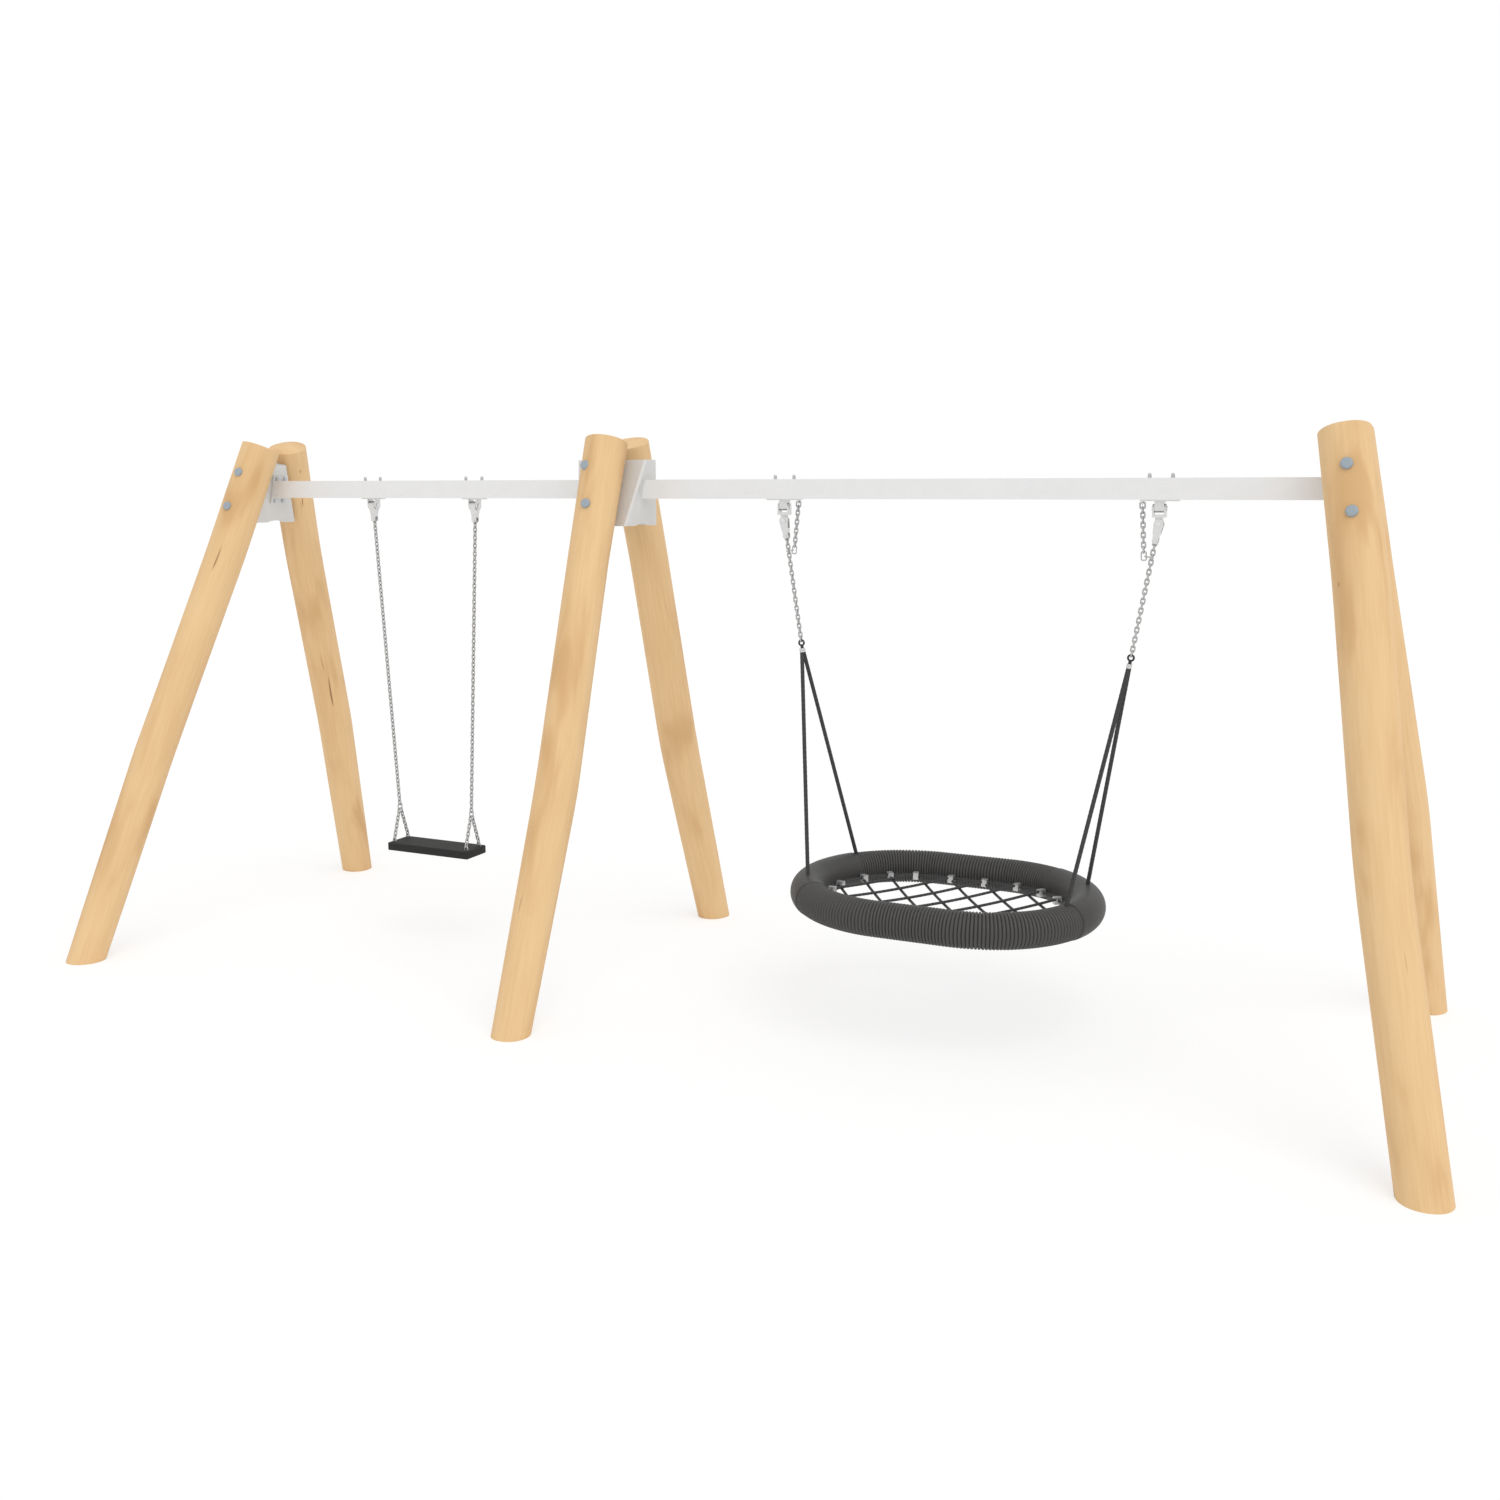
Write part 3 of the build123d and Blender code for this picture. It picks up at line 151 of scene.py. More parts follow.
def make_piece(name: str, skins: list[Skin], sharp_angle: float = 40.0) -> bpy.types.Object:
    """Turn skins into one mesh object at the origin.

    Args:
        name: Name of the piece.
        skins: Closed surfaces that belong to the piece.
        sharp_angle: Edges that turn by more than this many degrees stay sharp.

    Returns:
        The new object, linked into the scene.
    """
    points, flows, loops, sizes, offset = [], [], [], [], 0
    for skin in skins:
        skin_points, skin_flow, skin_faces = skin.arrays()
        points.append(skin_points)
        flows.append(skin_flow)
        for faces in skin_faces:
            loops.append((faces + offset).reshape(-1))
            sizes.append(np.full(len(faces), faces.shape[1]))
        offset += len(skin_points)
    co = np.concatenate(points).astype(np.float32)
    loop = np.concatenate(loops).astype(np.int32)
    size = np.concatenate(sizes).astype(np.int32)
    start = np.concatenate([[0], np.cumsum(size)[:-1]]).astype(np.int32)
    mesh = bpy.data.meshes.new(name)
    mesh.vertices.add(len(co))
    mesh.vertices.foreach_set("co", co.reshape(-1))
    mesh.loops.add(len(loop))
    mesh.loops.foreach_set("vertex_index", loop)
    mesh.polygons.add(len(size))
    mesh.polygons.foreach_set("loop_start", start)
    mesh.polygons.foreach_set("use_smooth", np.ones(len(size), dtype=bool))
    mesh.update(calc_edges=True)
    attribute = mesh.attributes.new("flow", "FLOAT_VECTOR", "POINT")
    attribute.data.foreach_set("vector", np.concatenate(flows).astype(np.float32).reshape(-1))
    mesh.set_sharp_from_angle(angle=math.radians(sharp_angle))
    mesh.validate()
    piece = bpy.data.objects.new(name, mesh)
    bpy.context.scene.collection.objects.link(piece)
    return piece


def lengths_along(path: np.ndarray) -> np.ndarray:
    """Length from the first point of a path to each of its points."""
    return np.concatenate([[0.0], np.cumsum(np.linalg.norm(np.diff(path, axis=0), axis=1))])


def tube(
    path: np.ndarray, side: np.ndarray, rise: np.ndarray, radius: np.ndarray, lap: float = 0.0
) -> Skin:
    """Round skin about a path: point = path + radius * (side * cos(turn) + rise * sin(turn)).

    Args:
        path: Middle of each row.
        side: Unit vector of each row at turn 0.
        rise: Unit vector of each row at a quarter turn.
        radius: Radius of each point, rows by columns.
        lap: Length along the path at the first row, for the pattern coordinates.

    Returns:
        The skin, whose pattern coordinates are the straightened tube.
    """
    rows, columns = radius.shape
    turn = FULL_TURN * np.arange(columns) / columns
    wave = np.stack([np.cos(turn), np.sin(turn)])
    out = side[:, None, :] * wave[0][None, :, None] + rise[:, None, :] * wave[1][None, :, None]
    grid = path[:, None, :] + radius[:, :, None] * out
    along = np.broadcast_to((lengths_along(path) + lap)[:, None], (rows, columns))
    return Skin(grid, np.stack([radius * wave[0], radius * wave[1], along], axis=-1))


# ---- materials ----------------------------------------------------------------------------------


class Value:
    """A number on a socket; arithmetic on it adds Math nodes."""

    def __init__(self, paint: Paint, socket: bpy.types.NodeSocket) -> None:
        """Wrap one output socket of a material."""
        self.paint = paint
        self.socket = socket

    def _math(self, operation: str, first: object, second: object) -> Value:
        """Add one Math node."""
        made = self.paint.node("ShaderNodeMath", {"operation": operation}, {0: first, 1: second})
        return Value(self.paint, made.outputs[0])

    def __add__(self, other: object) -> Value:
        """Sum."""
        return self._math("ADD", self, other)

    __radd__ = __add__

    def __sub__(self, other: object) -> Value:
        """Difference."""
        return self._math("SUBTRACT", self, other)

    def __rsub__(self, other: object) -> Value:
        """Difference from a number."""
        return self._math("SUBTRACT", other, self)

    def __mul__(self, other: object) -> Value:
        """Product."""
        return self._math("MULTIPLY", self, other)

    __rmul__ = __mul__

    def step(self, low: float, high: float) -> Value:
        """Smooth rise from 0 at low to 1 at high."""
        made = self.paint.node(
            "ShaderNodeMapRange",
            {"interpolation_type": "SMOOTHSTEP", "clamp": True},
            {0: self, 1: low, 2: high, 3: 0.0, 4: 1.0},
        )
        return Value(self.paint, made.outputs[0])


class Paint:
    """One procedural material under construction."""

    def __init__(self, name: str) -> None:
        """Start an empty material with an output and a Principled shader."""
        self.material = bpy.data.materials.new(name)
        self.material.use_nodes = True
        self.tree = self.material.node_tree
        self.tree.nodes.clear()
        self.shader = self.node("ShaderNodeBsdfPrincipled", {}, {})
        self.output = self.node("ShaderNodeOutputMaterial", {}, {"Surface": self.shader.outputs[0]})

    def node(
        self, kind: str, settings: dict[str, object], inputs: dict[object, object]
    ) -> bpy.types.Node:
        """Add a node.

        Args:
            kind: Blender's node type.
            settings: Properties of the node, set first; ramp stops go under "stops".
            inputs: Numbers, colours, sockets or values for the node's sockets by name or index.

        Returns:
            The new node.
        """
        made = self.tree.nodes.new(kind)
        for key, setting in settings.items():
            if key == "stops":
                ramp = made.color_ramp.elements
                while len(ramp) < len(setting):
                    ramp.new(0.5)
                for stop, (place, colour) in zip(ramp, setting):
                    stop.position = place
                    stop.color = colour
            else:
                setattr(made, key, setting)
        for key, given in inputs.items():
            source = given.socket if isinstance(given, Value) else given
            if isinstance(source, bpy.types.NodeSocket):
                self.tree.links.new(source, made.inputs[key])
            else:
                made.inputs[key].default_value = source
        return made

    def place(self, attribute: str = "") -> bpy.types.NodeSocket:
        """Coordinates of a pattern: an attribute of the piece, or its own space."""
        if attribute:
            settings = {"attribute_name": attribute, "attribute_type": "GEOMETRY"}
            return self.node("ShaderNodeAttribute", settings, {}).outputs["Vector"]
        return self.node("ShaderNodeTexCoord", {}, {}).outputs["Object"]

    def stretch(
        self, vector: bpy.types.NodeSocket, scale: tuple[float, float, float]
    ) -> bpy.types.NodeSocket:
        """Scale coordinates along each axis."""
        return self.node("ShaderNodeMapping", {}, {"Vector": vector, "Scale": scale}).outputs[0]

    def noise(
        self, vector: bpy.types.NodeSocket, scale: float, detail: float = 3.0, bend: float = 0.0
    ) -> Value:
        """Soft noise between about 0.3 and 0.7."""
        inputs = {"Vector": vector, "Scale": scale, "Detail": detail, "Distortion": bend}
        return Value(self, self.node("ShaderNodeTexNoise", {}, inputs).outputs[0])

    def cells(
        self, vector: bpy.types.NodeSocket, scale: float
    ) -> tuple[Value, bpy.types.NodeSocket]:
        """Distance to the nearest random point, and that point's random colour."""
        made = self.node("ShaderNodeTexVoronoi", {}, {"Vector": vector, "Scale": scale})
        return Value(self, made.outputs["Distance"]), made.outputs["Color"]

    def blend(self, share: object, low: object, high: object) -> bpy.types.NodeSocket:
        """Mix two colours by a share between 0 and 1."""
        colours = {"Factor": share, 6: low, 7: high}
        return self.node("ShaderNodeMix", {"data_type": "RGBA"}, colours).outputs[2]

    def finish(self, colour: object, roughness: object, metallic: float = 0.0) -> None:
        """Set the main sockets of the shader."""
        main = {"Base Color": colour, "Roughness": roughness, "Metallic": metallic}
        for key, given in main.items():
            source = given.socket if isinstance(given, Value) else given
            if isinstance(source, bpy.types.NodeSocket):
                self.tree.links.new(source, self.shader.inputs[key])
            else:
                self.shader.inputs[key].default_value = source

    def bump(self, height: Value, distance: float, strength: float = 1.0) -> None:
        """Raise the surface by a height map, in metres."""
        inputs = {"Height": height, "Distance": distance, "Strength": strength}
        made = self.node("ShaderNodeBump", {}, inputs)
        self.tree.links.new(made.outputs[0], self.shader.inputs["Normal"])


def srgb(red: int, green: int, blue: int) -> tuple[float, float, float, float]:
    """Linear colour of a display colour given in steps of 255."""
    display = np.array([red, green, blue]) / 255.0
    linear = np.where(display <= 0.04045, display / 12.92, ((display + 0.055) / 1.055) ** 2.4)
    return (float(linear[0]), float(linear[1]), float(linear[2]), 1.0)


@dataclass(frozen=True)
class Timber:
    """Peeled and oiled log: pale streaks along the grain, a few short checks and pin knots."""

    light: tuple = srgb(226, 191, 142)
    middle: tuple = srgb(218, 180, 130)
    dark: tuple = srgb(196, 152, 100)
    crack: tuple = srgb(128, 84, 44)

    def build(self) -> bpy.types.Material:
        """Make the material; its pattern follows the straightened log."""
        paint = Paint("timber")
        flow = paint.place("flow")
        streak = paint.noise(paint.stretch(flow, (1.0, 1.0, 0.05)), 90.0, 4.0, 0.3)
        cloud = paint.noise(paint.stretch(flow, (1.0, 1.0, 0.25)), 7.0, 2.0, 0.6)
        fibre = paint.noise(paint.stretch(flow, (1.0, 1.0, 0.02)), 420.0, 2.0)
        tone = (streak * 0.55 + cloud * 0.75 + fibre * 0.15).step(0.50, 0.95)
        base = paint.blend(tone, self.light, self.middle)
        base = paint.blend(cloud.step(0.52, 0.74) * 0.55, base, self.dark)
        slit = paint.noise(paint.stretch(flow, (1.0, 1.0, 0.07)), 36.0, 1.5, 0.4)
        spot = paint.noise(paint.stretch(flow, (1.0, 1.0, 0.5)), 6.0, 0.5)
        check = slit.step(0.70, 0.735) * spot.step(0.55, 0.62)
        base = paint.blend(check * 0.75, base, self.crack)
        distance, _ = paint.cells(paint.stretch(flow, (1.0, 1.0, 0.55)), 5.5)
        knot = (1.0 - distance.step(0.010, 0.050)) * spot.step(0.42, 0.50)
        base = paint.blend(knot * 0.55, base, self.crack)
        paint.finish(base, 0.62 + streak * 0.1)
        paint.bump(streak * 0.5 + fibre * 0.3 - check * 1.4 - knot * 0.3, 0.0008, 0.6)
        return paint.material


@dataclass(frozen=True)
class Metal:
    """Bare or zinc-coated metal with cloudy spangle and small scratches."""

    name: str
    colour: tuple
    metallic: float
    roughness: float
    spangle: float = 0.08
    scale: float = 60.0
    relief: float = 0.00006
    dim_share: float = 0.55

    def build(self) -> bpy.types.Material:
        """Make the material on the piece's own coordinates."""
        paint = Paint(self.name)
        space = paint.place()
        cloud = paint.noise(space, self.scale * 0.25, 3.0)
        _, tint = paint.cells(space, self.scale * 3.0)
        patch = Value(paint, paint.node("ShaderNodeSeparateColor", {}, {0: tint}).outputs[0])
        shade = (cloud.step(0.25, 0.75) * 0.6 + patch * 0.4) * self.spangle
        dim = tuple(c * self.dim_share for c in self.colour[:3]) + (1.0,)
        colour = paint.blend(shade * 1.6, self.colour, dim)
        paint.finish(colour, self.roughness + shade * 1.2, self.metallic)
        grain = paint.noise(space, self.scale * 20.0, 2.0)
        paint.bump(grain + patch * 0.5, self.relief, 0.5)
        return paint.material


@dataclass(frozen=True)
class Moulded:
    """Rubber or plastic with a fine skin, a little dust and scuffs."""

    name: str
    colour: tuple
    roughness: float
    dust: tuple = srgb(120, 118, 112)
    dust_share: float = 0.12
    grain_scale: float = 900.0
    relief: float = 0.00015

    def build(self) -> bpy.types.Material:
        """Make the material on the piece's own coordinates."""
        paint = Paint(self.name)
        space = paint.place()
        cloud = paint.noise(space, 9.0, 4.0, 0.4)
        speck = paint.noise(space, self.grain_scale * 0.4, 2.0)
        share = (cloud.step(0.45, 0.75) * 0.7 + speck.step(0.6, 0.75) * 0.3) * self.dust_share
        paint.finish(paint.blend(share, self.colour, self.dust), self.roughness + share * 0.8)
        distance, _ = paint.cells(space, self.grain_scale)
        paint.bump(speck * 0.6 - distance * 0.6, self.relief, 0.6)
        return paint.material


@dataclass(frozen=True)
class Braid:
    """Black braided cord: crossing yarns round the straightened rope."""

    name: str
    colour: tuple
    highlight: tuple
    yarn: float

    def build(self) -> bpy.types.Material:
        """Make the material; its pattern follows the rope."""
        paint = Paint(self.name)
        flow = paint.place("flow")
        distance, tint = paint.cells(paint.stretch(flow, (1.0, 1.0, 0.45)), 1.0 / self.yarn)
        patch = Value(paint, paint.node("ShaderNodeSeparateColor", {}, {0: tint}).outputs[0])
        fuzz = paint.noise(paint.stretch(flow, (1.0, 1.0, 0.3)), 2200.0, 2.0)
        paint.finish(paint.blend(patch * 0.5 + fuzz * 0.2, self.colour, self.highlight), 0.72)
        paint.bump(fuzz * 0.4 - distance, self.yarn * 0.25, 0.7)
        return paint.material


def dress(node: bpy.types.Object, material: bpy.types.Material) -> None:
    """Give a piece one material in every slot."""
    node.data.materials.clear()
    node.data.materials.append(material)


# ---- log frames ---------------------------------------------------------------------------------


@dataclass(frozen=True)
class Log:
    """How one log strays from its frame's straight line, in metres.

    The top moves across the frame; the bend and the foot move across it and outwards. The radii
    belong to the foot, the bend, the shoulder and the top.
    """

    place: str
    top: float
    bend: tuple[float, float]
    foot: tuple[float, float]
    radii: tuple[float, float, float, float]
    seed: int


@dataclass
class LogFrame:
    """One A-frame of two leaning logs, front and rear."""

    name: str
    foot_x: float
    lean: float
    logs: tuple[Log, Log]
    beam_height: float = 2.170
    half_gap: float = 0.184
    slope: float = math.radians(19.0)
    rise: float = 0.196
    shoulder_drop: float = 0.300
    bend_height: float = 0.950
    bend_radius: float = 5.0
    buried_share: float = 0.15
    dome: float = 0.010
    rim_round: float = 0.004
    shrinkage: float = 0.0012
    rows: int = 160
    columns: int = 72
    bend_steps: int = 12
    rim_steps: int = 5
    cap_steps: int = 9
    waves: tuple[tuple[int, float], ...] = ((2, 0.0014), (3, 0.0009), (5, 0.0004))
    most_twist: float = 0.8
    beats: tuple[float, float] = (1.5, 3.5)
    seed_shift: tuple[float, float, float] = (3.7, 1.9, 2.3)

    def to_world(self, points: np.ndarray) -> np.ndarray:
        """Lean the frame's own plane about the line through its feet and move it to its place."""
        x, y, z = points[..., 0], points[..., 1], points[..., 2]
        c, s = math.cos(self.lean), math.sin(self.lean)
        return np.stack([self.foot_x + x * c + z * s, y, z * c - x * s], axis=-1)

    def corners(self, log: Log) -> np.ndarray:
        """Buried foot, bend, shoulder and top of a log in the frame's own plane.

        Args:
            log: The log to place.

        Returns:
            The four corners of its axis.
        """
        side = -1.0 if log.place == "front" else 1.0
        level = self.beam_height / math.cos(self.lean)

        def point(over_beam: float, across: float, outwards: float) -> np.ndarray:
            """Place near the straight line at a height over the beam."""
            y = self.half_gap - over_beam * math.tan(self.slope) + outwards
            return np.array([across, side * y, level + over_beam])

        bend = point(self.bend_height - level, *log.bend)
        foot = point(-level, *log.foot)
        buried = foot + (foot - bend) * self.buried_share
        shoulder = point(-self.shoulder_drop, log.top, 0.0)
        return np.stack([buried, bend, shoulder, point(self.rise, log.top, 0.0)])

    def centreline(self, log: Log) -> tuple[np.ndarray, np.ndarray, np.ndarray]:
        """Axis of a log: straight runs whose corners are arcs tangent to both sides.

        Args:
            log: The log to trace.

        Returns:
            Points, unit tangents and lengths along the axis, foot first.
        """
        corners = self.corners(log)
        traced = [corners[0]]
        for before, corner, after in zip(corners[:-2], corners[1:-1], corners[2:]):
            arrive = (corner - before) / np.linalg.norm(corner - before)
            leave = (after - corner) / np.linalg.norm(after - corner)
            turn = math.acos(float(np.clip(arrive @ leave, -1.0, 1.0)))
            inward = leave - arrive * (arrive @ leave)
            inward /= np.linalg.norm(inward)
            start = corner - arrive * self.bend_radius * math.tan(turn / 2.0)
            for angle in np.linspace(0.0, turn, self.bend_steps):
                sweep = arrive * math.sin(angle) + inward * (1.0 - math.cos(angle))
                traced.append(start + sweep * self.bend_radius)
        line = np.stack(traced + [corners[-1]])
        reach = lengths_along(line)
        along = np.linspace(0.0, reach[-1], self.rows)
        path = np.stack([np.interp(along, reach, line[:, axis]) for axis in range(3)], axis=-1)
        tangent = np.gradient(path, along, axis=0)
        return path, tangent / np.linalg.norm(tangent, axis=1, keepdims=True), along

    def log_skin(self, log: Log) -> Skin:
        """One log, a little uneven, cut flat on the ground and nearly flat at its top.

        The radius runs between the log's four radii, plus a sum of slow waves round and along
        it. The cut rises as a low dome and its rim is barely rounded. Rows below the ground
        slide up along the log's own lines until they stand on it.

        Args:
            log: The log to cover.

        Returns:
            The skin, with pattern coordinates that differ from log to log.
        """
        path, tangent, along = self.centreline(log)
        random = np.random.default_rng(log.seed)
        turn = FULL_TURN * np.arange(self.columns) / self.columns
        wave = np.zeros((self.rows, self.columns))
        for lobes, size in self.waves:
            phase = random.uniform(0, FULL_TURN)
            twist = random.uniform(-self.most_twist, self.most_twist)
            beat = random.uniform(*self.beats)
            wave += size * np.cos(lobes * turn[None, :] + phase + twist * along[:, None])
            wave += 0.5 * size * np.sin(beat * along[:, None] + phase)
        level = self.beam_height / math.cos(self.lean)
        stations = (0.0, self.bend_height, level - self.shoulder_drop, level + self.rise)
        radius = np.interp(path[:, 2], stations, log.radii)[:, None] - self.shrinkage + wave
        across = np.cross(np.cross(tangent, np.array([1.0, 0.0, 0.0])), tangent)
        across /= np.linalg.norm(across, axis=1, keepdims=True)
        skin = tube(path, across, np.cross(tangent, across), radius)
        rim = skin.grid[-1] - path[-1]
        size = log.radii[-1]
        arc = np.linspace(0.0, math.pi / 2.0, self.rim_steps)[1:]
        edge = 1.0 - self.rim_round * (1.0 - np.cos(arc)) / size
        flat = edge[-1] * np.linspace(1.0, 0.0, self.cap_steps)[1:-1]
        shrink = np.concatenate([edge, flat])
        lift = np.concatenate([self.rim_round * np.sin(arc), np.full(len(flat), self.rim_round)])
        lift += (self.dome - self.rim_round) * (1.0 - (shrink / edge[-1]).clip(0.0, 1.0) ** 2)
        cap = path[-1] + rim[None] * shrink[:, None, None] + tangent[-1] * lift[:, None, None]
        cap_flow = np.repeat(skin.flow[-1][None], len(cap), axis=0)
        cap_flow = cap_flow * np.stack([shrink, shrink, np.ones_like(shrink)], axis=-1)[:, None, :]
        cap_flow[..., 2] += lift[:, None]
        world = self.to_world(np.concatenate([skin.grid, cap]))
        flow = np.concatenate([skin.flow, cap_flow])
        down = world[1] - world[0]
        below = world[..., 2] < 0.0
        slide = np.where(below, -world[..., 2] / down[None, :, 2], 0.0)
        world = world + slide[..., None] * down[None]
        keep = int(np.argmax(~below.all(axis=1))) - 1
        shift = np.array(self.seed_shift) * log.seed
        return Skin(world[keep:], flow[keep:] + shift)

    def build(self, timber: bpy.types.Material) -> list[bpy.types.Object]:
        """Make both logs of the frame."""
        made = []
        for log in self.logs:
            piece = make_piece(f"log_{self.name}_{log.place}", [self.log_skin(log)], 50.0)
            dress(piece, timber)
            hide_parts(f"post_{self.name}_{log.place}")
            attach(piece, Body.FRAME.value)
            made.append(piece)
        return made


# ---- nest ---------------------------------------------------------------------------------------


@dataclass
class Oval:
    """A stadium-shaped line: two half circles joined by straights, counted from its right end."""

    centre_x: float
    half: float
    bend: float
    height: float

    @property
    def quarter(self) -> float:
        """Length of a quarter circle."""
        return self.bend * math.pi / 2.0

    @property
    def length(self) -> float:
        """Length of the whole line."""
        return 4.0 * self.quarter + 4.0 * self.half

    def at_angle(self, angle: float) -> float:
        """Length from the right end to an angle on the end arcs, in degrees, counter-clockwise."""
        straights = 2.0 * self.half * ((angle > 90.0) + (angle > 270.0))
        return self.bend * math.radians(angle) + straights

    def sample(self, lengths: np.ndarray) -> tuple[np.ndarray, np.ndarray, np.ndarray]:
        """Trace the line.

        Args:
            lengths: Lengths along the line from its right end, counter-clockwise.

        Returns:
            Points, outward unit vectors and upward unit vectors.
        """
        s = np.mod(lengths, self.length)
        q, h = self.quarter, self.half
        round_left = np.clip(s - q - 2 * h, 0, 2 * q)
        round_right = np.clip(s - 3 * q - 4 * h, 0, q)
        angle = (np.clip(s, 0, q) + round_left + round_right) / self.bend
        x = self.centre_x + h - np.clip(s - q, 0, 2 * h) + np.clip(s - 3 * q - 2 * h, 0, 2 * h)
        out = np.stack([np.cos(angle), np.sin(angle), np.zeros_like(angle)], -1)
        points = out * self.bend + np.stack([x, np.zeros_like(x), np.full_like(x, self.height)], -1)
        return points, out, np.broadcast_to(np.array([0.0, 0.0, 1.0]), out.shape)


@dataclass
class Nest:
    """Oval nest seat: soft covers on a ring, ropes above it and a net inside it."""

    centre_x: float = 1.016
    half: float = 0.146
    bend: float = 0.428
    ring_height: float = 0.520
    cover_radius: float = 0.072
    sleeve_radius: float = 0.074
    rib_pitch: float = 0.0132
    rib_depth: float = 0.0075
    rib_steps: int = 8
    cover_columns: int = 56
    sleeve_edge: float = 0.006
    sleeve_edge_steps: int = 6
    sleeve_rows: int = 70
    right_sleeve: tuple[float, float] = (-22.0, 57.0)
    left_sleeve: tuple[float, float] = (144.0, 220.0)
    net_drop: float = 0.018
    border_inset: float = 0.089
    net_radius: float = 0.006
    net_layer: float = 0.0062
    net_spacing: float = 0.150
    net_rows: int = 7
    net_end_gap: float = 0.0125
    net_sag: float = 0.014
    net_slant: float = 1.5
    net_strands: int = 4
    net_step: float = 0.006
    rope_radius: float = 0.0085
    rope_side: float = 0.009
    rope_stop: float = 0.026
    rope_strands: int = 6
    rope_rows: int = 200
    lobe_depth: float = 0.12
    lobe_points: int = 5
    lay_length: float = 14.0
    hangers_x: float = 1.047
    hanger_half: float = 0.757
    sway_height: float = 2.041
    arm_lean: float = math.radians(9.0)
    ferrule_drop: float = 0.5493
    left_ropes: tuple[float, float] = (26.0, 40.0)
    right_ropes: tuple[float, float] = (27.0, 24.0)

    def ring(self) -> Oval:
        """Middle line of the ring."""
        return Oval(self.centre_x, self.half, self.bend, self.ring_height)

    def ribbed_cover(self, first: float, last: float) -> Skin:
        """Corrugated cover between two angles.

        Each rib is half of an ellipse along the path: radius = outer - depth * (1 - sqrt(1 - u^2)),
        with u running from -1 to 1 over a rib.

        Args:
            first: Angle of the first end, in degrees.
            last: Angle of the last end, in degrees.

        Returns:
            The cover's skin.
        """
        ring = self.ring()
        start, end = ring.at_angle(first), ring.at_angle(last)
        ribs = round((end - start) / self.rib_pitch)
        rows = ribs * self.rib_steps + 1
        share = (np.arange(rows) % self.rib_steps) / self.rib_steps * 2.0 - 1.0
        share[-1] = -1.0
        hollow = 1.0 - np.sqrt(np.clip(1.0 - share**2, 0.0, 1.0))
        profile = self.cover_radius - self.rib_depth * hollow
        path, out, up = ring.sample(np.linspace(start, end, rows))
        radius = np.repeat(profile[:, None], self.cover_columns, axis=1)
        return tube(path, out, up, radius, start)

    def smooth_sleeve(self, first: float, last: float) -> Skin:
        """Smooth sleeve between two angles, its ends rounded by quarter circles.

        Args:
            first: Angle of the first end, in degrees.
            last: Angle of the last end, in degrees.

        Returns:
            The sleeve's skin.
        """
        ring = self.ring()
        start, end = ring.at_angle(first), ring.at_angle(last)
        edge = self.sleeve_edge
        arc = np.linspace(0.0, math.pi / 2.0, self.sleeve_edge_steps)
        corner = edge * (1.0 - np.cos(arc))
        between = np.linspace(start + edge, end - edge, self.sleeve_rows)[1:-1]
        lengths = np.concatenate([start + corner, between, end - corner[::-1]])
        sink = edge * (1.0 - np.sin(arc))
        drop = np.concatenate([sink, np.zeros(len(between)), sink[::-1]])
        path, out, up = ring.sample(lengths)
        radius = np.repeat((self.sleeve_radius - drop)[:, None], self.cover_columns, axis=1)
        return tube(path, out, up, radius, start)

    def twisted(
        self, path: np.ndarray, side: np.ndarray, rise: np.ndarray, radius: float, strands: int
    ) -> Skin:
        """Laid rope: its section is a ring of lobes that turns once in seven diameters.

        radius = outer * (1 - depth * (1 - |cos(strands / 2 * (turn - lay))|))

        Args:
            path: Middle of each row.
            side: Unit vector of each row at turn 0.
            rise: Unit vector of each row at a quarter turn.
            radius: Outer radius of the rope.
            strands: Number of lobes round the rope.

        Returns:
            The rope's skin.
        """
        columns = strands * self.lobe_points
        turn = FULL_TURN * np.arange(columns) / columns
        lay = FULL_TURN * lengths_along(path) / (self.lay_length * radius)
        lobe = np.abs(np.cos(strands / 2.0 * (turn[None, :] - lay[:, None])))
        return tube(path, side, rise, radius * (1.0 - self.lobe_depth * (1.0 - lobe)))

    def net_height(self, x: np.ndarray, y: np.ndarray) -> np.ndarray:
        """How far the net hangs down at a place: a paraboloid over the oval."""
        wide = self.half + self.bend - self.border_inset
        deep = self.bend - self.border_inset
        return -self.net_sag * np.clip(1.0 - (x / wide) ** 2 - (y / deep) ** 2, 0.0, 1.0)

    def reach(self, x: float, direction: np.ndarray, bend: float) -> float:
        """Distance from a place on the oval's long axis to the oval.

        Args:
            x: Place on the long axis.
            direction: Unit vector to follow.
            bend: Radius of the oval's ends.

        Returns:
            The distance to the straight or, past its end, to the half circle.
        """
        distance = bend / abs(direction[1])
        across = x + direction[0] * distance
        if abs(across) <= self.half:
            return distance
        offset = x - math.copysign(self.half, across)
        ahead = offset * direction[0]
        return math.sqrt(ahead**2 - offset**2 + bend**2) - ahead

